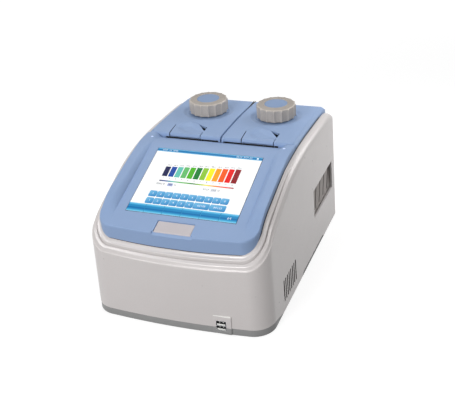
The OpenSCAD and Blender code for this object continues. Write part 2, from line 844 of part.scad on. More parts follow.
// Plan outline of the latch, grown by d: straight lip in front, arch at the back.
function latch_plan(d) = let (hw = latch_w / 2 + d, y1 = lid_front_y + latch_l + d)
    concat([[latch_x - hw, lid_front_y - 2], [latch_x + hw, lid_front_y - 2]],
        [for (i = [0 : 12]) let (a = 180 * i / 12)
            [latch_x + hw * cos(a), y1 - 13 + 13 * sin(a)]]);

module lid_shell(side) {
    outer = lid_ring(6, 0);
    rim = dish_ring(dish_r, 0);
    difference() {
        union() {
            skin([lid_level(0, lid_foot_z), lid_edge(0, lid_edge_drop, 3),
                lid_edge(1.6, 1.8, 0.6), outer, between(outer, rim, 0.4, 0),
                between(outer, rim, 0.75, 0), rim, dish_ring(dish_floor_r, dish_depth),
                dish_ring(9, dish_depth), dish_ring(9, dish_depth + wall),
                dish_ring(dish_floor_r, dish_depth + wall), between(outer, rim, 0.5, wall + 0.2),
                lid_ring(6, wall), lid_edge(wall, lid_edge_drop + 2, wall + 0.6),
                lid_level(wall, lid_foot_z)]);
            translate([bay_x, knob_y, boss_foot_z])
                cylinder(h = curve(lid_crown, knob_y) - dish_depth - boss_foot_z + 0.3, r = boss_r);
            for (x = [bay_x - hinge_x + 3, bay_x + hinge_x - knuckle_w - 3])
                translate([x, 0, 0])
                    union() {
                        rod_x(0, knuckle_w, hinge_y, hinge_z, lug_r);
                        box([0, hinge_y - 4, hinge_z], [knuckle_w, hinge_y + 4, 191.8]);
                    }
            for (x = [latch_x - latch_w / 2 - 5.6, latch_x + latch_w / 2 + 0.6])
                box([x, lid_front_y + 1, latch_z - 5], [x + 5, latch_y + 5, 198.2]);
        }
        translate([0, 0, lid_foot_z - 1])
            linear_extrude(40)
                polygon(latch_plan(0.6));
        finger_gap(lid_foot_z - 1, side);
        translate([bay_x, knob_y, boss_foot_z - 1])
            cylinder(h = 30, r = spindle_r + running);
        rod_x(bay_x - 50, bay_x + 50, hinge_y, hinge_z, hinge_pin_r + running);
        rod_x(latch_x - latch_w / 2 - 7, latch_x + latch_w / 2 + 7, latch_y, latch_z, latch_pin_r);
        for (x = [bay_x - hinge_x - lug_t, bay_x + hinge_x])
            box([x - 0.8, hinge_y - 7, lid_foot_z - 1], [x + lug_t + 0.8, lid_back_y + 1, 188]);
    }
}

// Three-sided finger gap at the back right corner of each latch, as seen from the front.
module finger_gap(z, side) {
    x = latch_x + side * latch_w / 2;
    translate([0, 0, z])
        linear_extrude(40)
            polygon([[x - 16 * side, lid_front_y + 43], [x - 4.6 * side, lid_front_y + 26],
                [x + 0.6 * side, lid_front_y + 20], [x + 0.6 * side, lid_front_y + 34.2]]);
}

module lid_left() {
    color("LightSteelBlue")
        on_side(-1)
            lid_shell(-1);
}

module lid_right() {
    color("LightSteelBlue")
        lid_shell(1);
}

module lid_liner(side) {
    color("WhiteSmoke")
        on_side(side)
            difference() {
                box([lid_in_x + wall + 0.1, lid_front_y + wall + 6, lid_foot_z + 0.6],
                    [cover_x - wall - 0.1, 162, lid_foot_z + 2.4]);
                box([bay_x - heater_w / 2 - 1.5, block_y - heater_l / 2 - 1.5, lid_foot_z - 1],
                    [bay_x + heater_w / 2 + 1.5, block_y + heater_l / 2 - 0.1 + 1.5,
                    lid_foot_z + 4]);
            }
}

module lid_liner_left() {
    lid_liner(-1);
}

module lid_liner_right() {
    lid_liner(1);
}

module heated_plate(x) {
    color("DarkGray")
        translate([x, 0, 0])
            difference() {
                union() {
                    box([-heater_w / 2, block_y - heater_l / 2, heater_z],
                        [heater_w / 2, block_y + heater_l / 2, heater_z + heater_t]);
                    translate([0, knob_y, heater_z + heater_t - 1])
                        cylinder(h = 5, r = 10);
                }
                translate([0, knob_y, heater_z + 1])
                    cylinder(h = 20, r = screw_r + running);
            }
}

module heated_plate_left() {
    heated_plate(-bay_x);
}

module heated_plate_right() {
    heated_plate(bay_x);
}

module spindle(x) {
    color("Silver")
        translate([x, knob_y, 0])
            union() {
                translate([0, 0, heater_z + 1.6])
                    cylinder(h = boss_foot_z - heater_z, r = screw_r);
                translate([0, 0, boss_foot_z - 0.8])
                    cylinder(h = knob_z + 12 - boss_foot_z, r = spindle_r);
            }
}

module spindle_left() {
    spindle(-bay_x);
}

module spindle_right() {
    spindle(bay_x);
}

module knob(x) {
    color("DarkGray")
        translate([x, knob_y, knob_z])
            difference() {
                union() {
                    translate([0, 0, 1.2])
                        cylinder(h = knob_h - 2.4, r = knob_r);
                    cylinder(h = 1.2, r1 = knob_r - 1.2, r2 = knob_r);
                    translate([0, 0, knob_h - 1.2])
                        cylinder(h = 1.2, r1 = knob_r, r2 = knob_r - 1.2);
                }
                for (a = [0 : 360 / knob_flutes : 359.9])
                    rotate([0, 0, a])
                        translate([knob_r + flute_r - flute_depth, 0, -1])
                            cylinder(h = knob_h + 2, r = flute_r);
                translate([0, 0, knob_h - cap_t - 0.2])
                    cylinder(h = 3, r = cap_r + 0.2);
                translate([0, 0, -1])
                    cylinder(h = 12.2, r = spindle_r);
                translate([0, 0, -1])
                    difference() {
                        cylinder(h = knob_h - 4, r = knob_r - 5);
                        cylinder(h = knob_h, r = spindle_r + 3);
                    }
            }
}

module knob_left() {
    knob(-bay_x);
}

module knob_right() {
    knob(bay_x);
}

module knob_cap(x) {
    color("LightSteelBlue")
        translate([x, knob_y, knob_z + knob_h - cap_t - 0.2])
            difference() {
                cylinder(h = cap_t, r = cap_r);
                translate([0, cap_r, cap_t - 0.4])
                    cylinder(h = 1, r = 2.6);
            }
}

module knob_cap_left() {
    knob_cap(-bay_x);
}

module knob_cap_right() {
    knob_cap(bay_x);
}

// Latch lever: follows the lid top, with a front lip, a barrel on its pin and a thumb hollow.
module latch(side) {
    back = lid_front_y + latch_l;
    ys = [for (t = [0 : 0.125 : 1]) mix(lid_front_y + 3, back, t)];
    x0 = latch_x - latch_w / 2;
    x1 = latch_x + latch_w / 2;
    color("LightSteelBlue")
        on_side(side)
            difference() {
                intersection() {
                    union() {
                        across(x0, x1, concat([[lid_front_y, latch_foot_z],
                            [lid_front_y, 195], [lid_front_y + 0.9, 198.2]],
                            [for (y = ys) [y, curve(lid_crown, y)]],
                            [for (i = [len(ys) - 1 : -1 : 0])
                                [ys[i], curve(lid_crown, ys[i]) - latch_t]],
                            [[lid_front_y + 3, latch_foot_z]]));
                        rod_x(x0, x1, latch_y, latch_z, 4.4);
                        box([x0, latch_y - 3, latch_z], [x1, latch_y + 3, 197]);
                    }
                    translate([0, 0, latch_foot_z - 1])
                        linear_extrude(40)
                            polygon(latch_plan(0));
                }
                finger_gap(latch_foot_z - 1, side);
                rod_x(x0 - 1, x1 + 1, latch_y, latch_z, latch_pin_r + running);
                rod_x(latch_x - 7, latch_x + 7, latch_y, latch_z, 4.5);
                translate([latch_x, back - 13, 200 + 60 - 1.2])
                    sphere(r = 60);
            }
}

module latch_left() {
    latch(-1);
}

module latch_right() {
    latch(1);
}

module latch_pin(side) {
    color("Silver")
        on_side(side)
            rod_x(latch_x - latch_w / 2 - 5.6, latch_x + latch_w / 2 + 5.6, latch_y, latch_z,
                latch_pin_r);
}

module latch_pin_left() {
    latch_pin(-1);
}

module latch_pin_right() {
    latch_pin(1);
}

// Close-wound return spring round the latch pin, drawn as touching rings.
module latch_spring(side) {
    color("Gray")
        on_side(side)
            translate([latch_x - 5.4, latch_y, latch_z])
                rotate([0, 90, 0])
                    rotate_extrude()
                        for (i = [0 : 8])
                            translate([3.3, i * 1.35])
                                circle(r = 0.8);
}

module latch_spring_left() {
    latch_spring(-1);
}

module latch_spring_right() {
    latch_spring(1);
}

module hinge_bracket(side) {
    color("Silver")
        on_side(side)
            difference() {
                union() {
                    box([bay_x - hinge_x - lug_t, hinge_y - 8, deck_top],
                        [bay_x + hinge_x + lug_t, hinge_y + 8, deck_top + 1.5]);
                    for (x = [bay_x - hinge_x - lug_t, bay_x + hinge_x]) {
                        rod_x(x, x + lug_t, hinge_y, hinge_z, lug_r);
                        box([x, hinge_y - lug_r + 1, deck_top + 1],
                            [x + lug_t, hinge_y + lug_r - 1, hinge_z]);
                    }
                }
                rod_x(bay_x - 60, bay_x + 60, hinge_y, hinge_z, hinge_pin_r);
            }
}

module hinge_bracket_left() {
    hinge_bracket(-1);
}

module hinge_bracket_right() {
    hinge_bracket(1);
}

module hinge_pin(side) {
    color("Silver")
        on_side(side)
            rod_x(bay_x - hinge_x - lug_t - 0.6, bay_x + hinge_x + lug_t + 0.6, hinge_y, hinge_z,
                hinge_pin_r);
}

module hinge_pin_left() {
    hinge_pin(-1);
}

module hinge_pin_right() {
    hinge_pin(1);
}

module strikers() {
    color("Silver")
        both_sides()
            union() {
                box([latch_x - 9, 15, deck_top], [latch_x + 9, 20.4, deck_top + 1.5]);
                box([latch_x - 9, 18.4, deck_top], [latch_x + 9, 20.4, 181]);
            }
}

module base_screws() {
    color("Silver")
        for (p = screw_spots)
            translate([p[0], p[1], foot_h])
                difference() {
                    cylinder(h = 5, r = screw_head_r - 0.05);
                    translate([0, 0, -1])
                        cylinder(h = 2.4, r = 1.6, $fn = 6);
                }
}

upper_housing();
base_tray();
rubber_feet();
base_screws();
control_panel();
touch_glass();
display_module();
panel_plate();
status_light_left();
status_light_right();
data_ports();
port_tongues();
main_board();
power_supply();
driver_board();
deck();
strikers();
well_block_left();
well_block_right();
peltier_left();
peltier_right();
heat_sink_left();
heat_sink_right();
fan_frame_left();
fan_frame_right();
fan_rotor_left();
fan_rotor_right();
side_louvre_left();
side_louvre_right();
back_panel();
power_inlet();
inlet_pins();
power_switch();
switch_pin();
fuse_drawer();
lid_left();
lid_right();
lid_liner_left();
lid_liner_right();
heated_plate_left();
heated_plate_right();
spindle_left();
spindle_right();
knob_left();
knob_right();
knob_cap_left();
knob_cap_right();
latch_left();
latch_right();
latch_pin_left();
latch_pin_right();
latch_spring_left();
latch_spring_right();
hinge_bracket_left();
hinge_bracket_right();
hinge_pin_left();
hinge_pin_right();
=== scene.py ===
"""Looks of the bench dry block heater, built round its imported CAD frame. Lengths are in millimetres
until a mesh is made, and +X is right, +Y back and +Z up, as in the CAD."""
import functools
import json
import math

import bmesh
import bpy
import numpy as np
from mathutils import Matrix, Vector


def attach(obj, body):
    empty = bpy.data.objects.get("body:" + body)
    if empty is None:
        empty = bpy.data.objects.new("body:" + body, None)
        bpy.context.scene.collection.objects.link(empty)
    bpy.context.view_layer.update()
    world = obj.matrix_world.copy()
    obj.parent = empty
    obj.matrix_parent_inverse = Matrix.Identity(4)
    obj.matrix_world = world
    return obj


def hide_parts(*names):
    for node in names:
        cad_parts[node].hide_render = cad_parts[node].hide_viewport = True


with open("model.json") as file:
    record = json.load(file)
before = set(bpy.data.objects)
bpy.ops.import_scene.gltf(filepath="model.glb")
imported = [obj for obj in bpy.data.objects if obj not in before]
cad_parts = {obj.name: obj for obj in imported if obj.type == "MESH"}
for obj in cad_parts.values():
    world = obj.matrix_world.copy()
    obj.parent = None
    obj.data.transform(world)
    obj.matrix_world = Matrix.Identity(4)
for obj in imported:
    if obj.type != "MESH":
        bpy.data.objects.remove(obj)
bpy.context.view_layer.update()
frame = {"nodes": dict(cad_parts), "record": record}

MM = 0.001

# ---------------------------------------------------------------- camera
# Angles in degrees, the eye in metres, the lens and film width in millimetres, and the farthest
# distance seen in metres.
AZIMUTH, ELEVATION, ROLL = 21.95, 28.23, -4.09
EYE = np.array([459.8, -1110.5, 742.0]) * MM
LENS, FILM, FARTHEST = 70.5, 36, 20


def set_camera():
    """Camera whose back axis points at the given azimuth and elevation, turned about that axis
    by the roll."""
    a, e, r = (math.radians(v) for v in (AZIMUTH, ELEVATION, ROLL))
    back = np.array([math.sin(a) * math.cos(e), -math.cos(a) * math.cos(e), math.sin(e)])
    level = np.array([math.cos(a), math.sin(a), 0.0])
    right = math.cos(r) * level + math.sin(r) * np.cross(back, level)
    data = bpy.data.cameras.new("front_view")
    data.lens, data.sensor_width, data.clip_end = LENS, FILM, FARTHEST
    place = np.eye(4)
    place[:3, :3] = np.column_stack([right, np.cross(back, right), back])
    place[:3, 3] = EYE
    camera = add_object("front_view", data)
    camera.matrix_world = Matrix(place)
    bpy.context.scene.camera = camera


# ---------------------------------------------------------------- sizes shared with the CAD
# Half width, front, back, wall, foot of the housing and lean of its side walls.
HALF_W, FRONT_Y, BACK_Y, WALL, FOOT, LEAN = 135.0, -190.0, 190.0, 3.0, 0.4, 0.02
FRONT_BOW, FRONT_R, REAR_R, BACK_HALF = 5, 32, 10, 118.7
# The rim from front to back: [y, height] of its inner edge and [y, fall] to its outer edge.
RIM_LINE = [[-178, 121.3], [-174.8, 124.5], [-166, 134], [-155.6, 144.5], [-136, 158.5],
            [-99, 171.3], [-41, 187], [10, 192.5], [50, 193.5], [91, 192.2], [162, 188.5],
            [180, 184], [187, 179]]
RIM_FALL = [[-190, 22], [-150, 20.5], [-117, 19.5], [-36, 15], [33, 10], [190, 10]]
# Section across the rim and its two beads: [share of the way out, share of the fall].
RIM_BEADS = [[0, 0], [0.05, 0.09], [0.17, 0.18], [0.32, 0.235], [0.375, 0.27], [0.395, 0.36],
             [0.402, 0.47], [0.416, 0.53], [0.44, 0.53], [0.46, 0.475], [0.5, 0.468],
             [0.6, 0.522], [0.75, 0.6], [0.83, 0.72], [0.9, 0.82], [0.975, 0.87], [0.995, 0.94],
             [1, 1]]
# The panel's shoulders as [y, rise] and the lids' crown as [y, height].
SHOULDER_RISE = [[-166, 0], [-156, 1.5], [-140, 6], [-127, 8.5], [-93, 7.6], [-60, 6],
                 [-30, 3.2], [-8, 1.8], [6, 3.6], [22, 8]]
LID_CROWN = [[21, 198.2], [24, 199.6], [41, 200.2], [86, 199.4], [133, 197.3], [165, 194.8],
             [182, 193], [187, 190.4]]
SEAM = 1.2
RIM_IN = 119.0
COVER_X = RIM_IN - SEAM
BACK_TOP = 165.0
PANEL_FRONT, PANEL_LEAN, PANEL_BOW, PANEL_R = -180.5, 3.5, 3.0, 25.0
SEAM_Y, CREASE_X = 20.3, 97.0
TILT = math.radians(17.5)
SLOPE = math.tan(TILT)
SCREEN_Y, SCREEN_Z, SCREEN_RUN, SCREEN_W = -147.9, 155.7, 125.0, 164.0
ROLL_Y = SCREEN_Y + SCREEN_RUN - 1
PANEL_BACK_Z, PANEL_BACK_SLOPE = 191.6, -0.42
LAMP_X, LAMP_Y = 104.5, 4.0
BAR_Y = -177.0
BAY_X, KNOB_Y, KNOB_R, KNOB_H, KNOB_Z = 56.6, 120.7, 31.0, 20.9, 198.7
CAP_R = 17.8
LID_FRONT, LID_BACK, LID_IN, LID_FOOT = SEAM_Y + 0.9, 186.5, 1.2, 172.0
LIP_FOOT = 193.9
LATCH_X = 58.0
SIDES = {"left": -1, "right": 1}


# ---------------------------------------------------------------- curves
def mix(a, b, t):
    """Point the share t of the way from a to b."""
    return a + (b - a) * t


def limit(t):
    return np.clip(t, 0.0, 1.0)


def ease(t):
    """Smooth step: 3 t squared less 2 t cubed, held between 0 and 1."""
    s = limit(t)
    return s * s * (3 - 2 * s)


def cubic(t, w, z0, z1, m0, m1):
    """Hermite cubic at the share t of a width w, from z0 to z1 with the slopes m0 and m1."""
    q, c = t * t, t * t * t
    return ((2 * c - 3 * q + 1) * z0 + (3 * q - 2 * c) * z1
            + (c - 2 * q + t) * w * m0 + (c - q) * w * m1)


def curve(knots, y):
    """Height at y of Hermite cubics through the knots, each knot's slope that of the chord
    between its two neighbours."""
    k = np.asarray(knots, float)
    x, z = k[:, 0], k[:, 1]
    i = np.arange(len(k))
    a, b = np.maximum(i - 1, 0), np.minimum(i + 1, len(k) - 1)
    m = (z[b] - z[a]) / (x[b] - x[a])
    y = np.asarray(y, float)
    j = np.clip(np.searchsorted(x, y, side="right") - 1, 0, len(k) - 2)
    w = x[j + 1] - x[j]
    return cubic(limit((y - x[j]) / w), w, z[j], z[j + 1], m[j], m[j + 1])


def through(points, n):
    """n points of a smooth curve through the given ones, spaced evenly along their chords."""
    p = np.asarray(points, float)
    s = np.concatenate([[0], np.cumsum(np.linalg.norm(np.diff(p, axis=0), axis=1))])
    at = np.linspace(0, s[-1], n)
    return np.stack([curve(np.column_stack([s, p[:, i]]), at) for i in range(p.shape[1])], axis=1)


def corner(a, square):
    """Shape of a corner at the angle a, as shares of its two radii: a quarter round, or the two
    legs of a square corner."""
    s, c = np.sin(np.radians(a)), np.cos(np.radians(a))
    if not square:
        return s, 1 - c
    tiny = 0.001
    return np.minimum(1, s / np.maximum(c, tiny)), 1 - np.minimum(1, c / np.maximum(s, tiny))


def turns(n):
    """n angles spaced evenly round a full turn."""
    return np.linspace(0, 2 * np.pi, n, endpoint=False)


def circle(x, y, r, n):
    """Plan of a circle of radius r about x, y."""
    return np.column_stack([x + r * np.cos(turns(n)), y + r * np.sin(turns(n))])


# Points of half the outline: along the bow, round the corner, along the side, round the rear
# corner and along the back.
BOW_N, CORNER_N, SIDE_N, REAR_N, BACK_N = 30, 20, 60, 10, 26


def outline(hw, front, bow, r, back, rx, ry, back_w, square=False):
    """Closed plan outline: a front that bows as the square of x, a corner of radius r, a straight
    side, a rear corner of radii rx, ry and a straight back, mirrored to the left."""
    f = np.linspace(0, 1, BOW_N, endpoint=False)
    a = np.linspace(0, 90, CORNER_N + 1)
    cx, cy = corner(a, square)
    side = np.linspace(0, 1, SIDE_N + 1)[1:-1]
    rx_, ry_ = corner(np.linspace(90, 0, REAR_N + 1), square)
    b = np.linspace(1, 0, BACK_N)
    x = np.concatenate([(hw - r) * f, hw - r + r * cx, np.full(len(side), hw), hw - rx + rx * rx_,
                        back_w * b])
    y = np.concatenate([front + bow * f ** 2, front + bow + r * cy,
                        mix(front + bow + r, back - ry, side), back - ry * ry_,
                        np.full(len(b), back)])
    half = np.column_stack([x, y])
    return np.concatenate([half, half[-2:0:-1] * [-1, 1]])


HALF_N = BOW_N + CORNER_N + 1 + SIDE_N - 1 + REAR_N + 1 + BACK_N
STEPS = np.arange(2 * HALF_N - 2)
FROM_MIDDLE = np.minimum(STEPS, 2 * HALF_N - 2 - STEPS)
# Share of the way round each rear corner, 0 on the side and 1 on the back wall.
BACKNESS = limit((FROM_MIDDLE - (BOW_N + CORNER_N + SIDE_N)) / REAR_N)

OUTER = outline(HALF_W, FRONT_Y, FRONT_BOW, FRONT_R, BACK_Y, REAR_R, REAR_R, BACK_HALF)
INNER = outline(RIM_IN, PANEL_FRONT + PANEL_LEAN - SEAM, PANEL_BOW, PANEL_R + SEAM, BACK_Y - WALL,
                0, 7, 118.6)


def lean(z):
    """Share of the half width that the leaning side walls keep at the height z."""
    return 1 - LEAN * (z - FOOT) / HALF_W


def ring(plan, z):
    """Plan points lifted to the heights z."""
    return np.column_stack([plan[:, 0], plan[:, 1], np.broadcast_to(z, len(plan))])


def inward(plan, d):
    """Plan moved in by d at the sides and ends, by scaling."""
    return plan * [1 - d / HALF_W, 1 - d / BACK_Y]


# ---------------------------------------------------------------- meshes
def grid_faces(rows, cols, wrap=True, ring_rows=False):
    """Quads of a grid of rows by columns, with the last column joined to the first if wrap and
    the last row joined to the first if ring_rows."""
    i = np.arange(rows if ring_rows else rows - 1)[:, None]
    j = np.arange(cols if wrap else cols - 1)[None, :]
    k, m = (j + 1) % cols, (i + 1) % rows
    return np.stack([i * cols + j, i * cols + k, m * cols + k, m * cols + j],
                    axis=-1).reshape(-1, 4)


def skin(rows):
    """Closed surface through rings of points, the last ring joined back to the first."""
    return np.concatenate(rows), grid_faces(len(rows), len(rows[0]), ring_rows=True)


# Distance in metres within which points are merged, and the length of an edge too short to keep.
MERGE, SLIVER = 1e-6, 1e-7


def add_object(name, data):
    obj = bpy.data.objects.new(name, data)
    bpy.context.scene.collection.objects.link(obj)
    return obj


def cleaned(mesh, work):
    """Does the work on the mesh's faces and edges, and writes the result back into the mesh."""
    bm = bmesh.new()
    bm.from_mesh(mesh)
    work(bm)
    bm.to_mesh(mesh)
    bm.free()


def merge_doubles(bm):
    bmesh.ops.remove_doubles(bm, verts=bm.verts, dist=MERGE)
    bmesh.ops.dissolve_degenerate(bm, edges=bm.edges, dist=SLIVER)


def face_out(bm):
    bmesh.ops.recalc_face_normals(bm, faces=bm.faces)


def make_piece(name, shape, finish, body, replaces=(), slot=None, sharp=40.0, flip=False):
    """Mesh piece from a shape, its points in millimetres and its faces, with doubled points
    merged and edges steeper than the angle sharp kept crisp."""
    points, faces = shape
    faces = [list(map(int, f)) for f in faces]
    if flip:
        faces = [f[::-1] for f in faces]
    mesh = bpy.data.meshes.new(name)
    mesh.from_pydata((np.asarray(points, float).reshape(-1, 3) * MM).tolist(), [], faces)
    cleaned(mesh, merge_doubles)
    piece = add_object(name, mesh)
    mesh.materials.append(finish)
    smooth(piece, sharp)
    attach(piece, body)
    if replaces:
        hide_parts(*replaces)
    return piece


def mirrored(shape, s):
    """The shape as it is for s = 1, or its points mirrored to the left for s = -1."""
    points, faces = shape
    return (points * [s, 1, 1] if s < 0 else points), faces


def side_piece(name, s, shape, *more, **settings):
    """Piece made from a shape that is worked out for the right-hand side."""
    return make_piece(name, mirrored(shape, s), *more, flip=s < 0, **settings)


def bake_modifiers(piece):
    """Replaces the piece's mesh by what its modifiers make of it."""
    graph = bpy.context.evaluated_depsgraph_get()
    graph.update()
    made = bpy.data.meshes.new_from_object(piece.evaluated_get(graph))
    piece.modifiers.clear()
    piece.data = made


def smooth(piece, sharp):
    """Smooth shading with edges steeper than the angle kept sharp."""
    piece.data.shade_smooth()
    piece.data.set_sharp_from_angle(angle=math.radians(sharp))


def cut(piece, solids, sharp=35.0):
    """Takes the closed solids, each (points, faces), out of the piece with an exact boolean."""
    points, faces = joined(*solids)
    mesh = bpy.data.meshes.new("cutter")
    mesh.from_pydata((points * MM).tolist(), [], faces)
    cleaned(mesh, face_out)
    tool = add_object("cutter", mesh)
    mod = piece.modifiers.new("cut", "BOOLEAN")
    mod.operation, mod.object, mod.solver = "DIFFERENCE", tool, "EXACT"
    bake_modifiers(piece)
    bpy.data.objects.remove(tool)
    smooth(piece, sharp)


def prism(plan, z0, z1):
    """Closed upright prism over a plan polygon."""
    n = len(plan)
    plan = np.asarray(plan, float)
    pts = np.concatenate([ring(plan, z0), ring(plan, z1)])
    i = np.arange(n)
    walls = np.stack([i, (i + 1) % n, (i + 1) % n + n, i + n], axis=1).tolist()
    return pts, walls + [list(range(n))[::-1], list(range(n, 2 * n))]


def block(low, high):
    """Closed box between two corners."""
    (x0, y0, z0), (x1, y1, z1) = low, high
    return prism([[x0, y0], [x1, y0], [x1, y1], [x0, y1]], z0, z1)


def rounded_block(low, high, r, n=4):
    """Box whose edges are all rounded by r: each corner is an eighth of a ball, laid out as rings
    of a rounded rectangle whose inset and height follow a quarter circle at foot and top."""
    low, high = np.asarray(low, float), np.asarray(high, float)
    c, h = (low + high) / 2, (high - low) / 2
    a = np.linspace(0, np.pi / 2, n + 1)
    quads = [(1, 1), (-1, 1), (-1, -1), (1, -1)]
    rings = []
    for s, z in [*((np.sin(t), -1) for t in a), *((np.cos(t), 1) for t in a)]:
        pts = []
        for q, (sx, sy) in enumerate(quads):
            t = a + q * np.pi / 2
            pts.append(np.column_stack([sx * (h[0] - r) + r * s * np.cos(t),
                                        sy * (h[1] - r) + r * s * np.sin(t)]))
        rings.append(np.concatenate(pts))
    zs = np.concatenate([-h[2] + r * (1 - np.cos(a)), h[2] - r * (1 - np.sin(a))])
    m = len(rings[0])
    pts = np.concatenate([ring(p, z) for p, z in zip(rings, zs)]) + c
    faces = grid_faces(len(rings), m, True).tolist()
    return pts, faces + [list(range(m))[::-1], list(range(m * (len(rings) - 1), m * len(rings)))]


def lathe(profile, centre, n=96):
    """Surface of revolution about an upright axis: profile rows [radius, height] turned in n
    steps."""
    p = np.asarray(profile, float)
    a = turns(n)
    pts = np.stack([centre[0] + p[:, :1] * np.cos(a), centre[1] + p[:, :1] * np.sin(a),
                    np.broadcast_to(p[:, 1:], (len(p), n))], axis=-1)
    return pts.reshape(-1, 3), grid_faces(len(p), n)


def rod(x0, x1, y, z, r, n=40):
    """Round bar of radius r along X, its two ends turned to a small chamfer."""
    edge = 0.4
    rows = np.array([[0, x0], [r - edge, x0], [r, x0 + edge], [r, x1 - edge], [r - edge, x1],
                     [0, x1]])
    a = turns(n)
    pts = np.stack([np.broadcast_to(rows[:, 1:], (len(rows), n)), y + rows[:, :1] * np.cos(a),
                    z + rows[:, :1] * np.sin(a)], axis=-1)
    return pts.reshape(-1, 3), grid_faces(len(rows), n)


def strip_wall(line_a, line_b, top, foot):
    """Thin upright wall between two plan lines of the same length, from the heights foot to top."""
    rows = [ring(line_a, foot), ring(line_a, top), ring(line_b, top), ring(line_b, foot)]
    n = len(line_a)
    faces = [[r * n + i, r * n + i + 1, (r + 1) % 4 * n + i + 1, (r + 1) % 4 * n + i]
             for r in range(4) for i in range(n - 1)]
    faces += [[0, n, 2 * n, 3 * n], [4 * n - 1, 3 * n - 1, 2 * n - 1, n - 1]]
    return np.concatenate(rows), faces


def joined(*shapes):
    """Several (points, faces) as one."""
    pts, faces, n = [], [], 0
    for p, f in shapes:
        pts.append(np.asarray(p, float))
        faces += [[int(v) + n for v in g] for g in f]
        n += len(p)
    return np.concatenate(pts), faces


def columns(rows):
    """Open skin over rings of points, from the first ring to the last."""
    return np.concatenate(rows), grid_faces(len(rows), len(rows[0]))


# ---------------------------------------------------------------- finishes
def tint(r, g, b):
    """Scene-linear colour of a display colour given as three numbers up to 255."""
    c = np.array([r, g, b]) / 255
    lin = np.where(c <= 0.04045, c / 12.92, ((c + 0.055) / 1.055) ** 2.4)
    return tuple(float(v) for v in lin)


class Nodes:
    """Node tree of a material or of the world, with short ways to add and join nodes."""

    def __init__(self, name, kind="Material"):
        store = bpy.data.worlds if kind == "World" else bpy.data.materials
        self.owner = store.new(name)
        self.owner.use_nodes = True
        self.tree = self.owner.node_tree
        self.tree.nodes.clear()
        self.out = self.add("ShaderNodeOutput" + kind)

    def add(self, kind, **settings):
        node = self.tree.nodes.new(kind)
        for key, value in settings.items():
            if key in node.inputs:
                node.inputs[key].default_value = value
            else:
                setattr(node, key, value)
        return node

    def join(self, a, b):
        self.tree.links.new(a, b)

    @functools.cached_property
    def object(self):
        """The piece's own coordinates, in metres."""
        return self.add("ShaderNodeTexCoord").outputs["Object"]

    def noise(self, size_mm, detail=3.0, rough=0.55, stretch=None):
        """Noise whose features are about size_mm across."""
        node = self.add("ShaderNodeTexNoise", Scale=1.0 / (size_mm * MM), Detail=detail,
                        Roughness=rough)
        where = self.object
        if stretch:
            turn = self.add("ShaderNodeMapping", Scale=stretch)
            self.join(where, turn.inputs["Vector"])
            where = turn.outputs[0]
        self.join(where, node.inputs["Vector"])
        return node.outputs["Fac"]

    def span(self, value, a, b, low, high):
        """Value taken from the range a..b to the range low..high, held at its ends."""
        node = self.add("ShaderNodeMapRange")
        self.join(value, node.inputs["Value"])
        for key, v in (("From Min", a), ("From Max", b), ("To Min", low), ("To Max", high)):
            node.inputs[key].default_value = v
        return node.outputs[0]

    def blend(self, share, a, b):
        """Colour between a and b, each a colour or a socket."""
        node = self.add("ShaderNodeMix", data_type="RGBA")
        self.join(share, node.inputs[0])
        for socket, v in ((node.inputs[6], a), (node.inputs[7], b)):
            if isinstance(v, tuple):
                socket.default_value = (*v, 1.0)
            else:
                self.join(v, socket)
        return node.outputs[2]

    def bump(self, height, depth_mm, onto=None):
        node = self.add("ShaderNodeBump", Strength=1.0, Distance=depth_mm * MM)
        self.join(height, node.inputs["Height"])
        if onto:
            self.join(onto, node.inputs["Normal"])
        return node.outputs[0]

    def worn_edge(self, most):
        """Up to most along outside edges of the mesh, nought on flat parts."""
        sharpness = self.add("ShaderNodeNewGeometry").outputs["Pointiness"]
        return self.span(sharpness, 0.52, 0.62, 0, most)

    def seen(self):
        """One to the camera and in reflections, nought for light thrown on the object."""
        path = self.add("ShaderNodeLightPath")
        either = self.add("ShaderNodeMath", operation="MAXIMUM")
        for i, ray in enumerate(("Is Camera Ray", "Is Glossy Ray")):
            self.join(path.outputs[ray], either.inputs[i])
        return either.outputs[0]

    def shader(self, colour, rough, normal, **sockets):
        """The material, with each socket of its shader joined, or set to a number or a colour."""
        node = self.add("ShaderNodeBsdfPrincipled")
        sockets = {"Base Color": colour, "Roughness": rough, "Normal": normal, **sockets}
        for key, value in sockets.items():
            socket = node.inputs[key.replace("_", " ")]
            if isinstance(value, bpy.types.NodeSocket):
                self.join(value, socket)
            elif isinstance(value, tuple):
                socket.default_value = (*value, 1.0)
            elif value is not None:
                socket.default_value = value
        self.join(node.outputs[0], self.out.inputs["Surface"])
        return self.owner


def shades(colour, *shares):
    """The colour made darker or lighter by each share, held at white."""
    return [tuple(np.minimum(np.array(colour) * share, 1)) for share in shares]


def moulding(name, colour, rough=0.42, grain_mm=0.5, grain_depth=0.012, mottle=0.035, wear=0.06,
             **sockets):
    """Fine-grained moulded plastic: a faint cloudy variation of the colour, lighter rubbed edges,
    a sparkly grain in the surface and roughness that drifts from place to place."""
    n = Nodes(name)
    dark, pale, speck = shades(colour, 1 - mottle, 1 + mottle, 1 - 1.6 * mottle)
    rubbed = tuple(np.minimum(np.array(colour) * 1.25 + 0.03, 1))
    base = n.blend(n.span(n.noise(38, 4), 0.3, 0.7, 0, 1), dark, pale)
    base = n.blend(n.span(n.noise(grain_mm * 1.6, 1), 0.35, 0.65, 0, 0.5), base, speck)
    base = n.blend(n.worn_edge(wear * 5), base, rubbed)
    drift = n.span(n.noise(14, 3), 0.25, 0.75, rough - 0.05, rough + 0.05)
    return n.shader(base, drift, n.bump(n.noise(grain_mm, 2), grain_depth), **sockets)


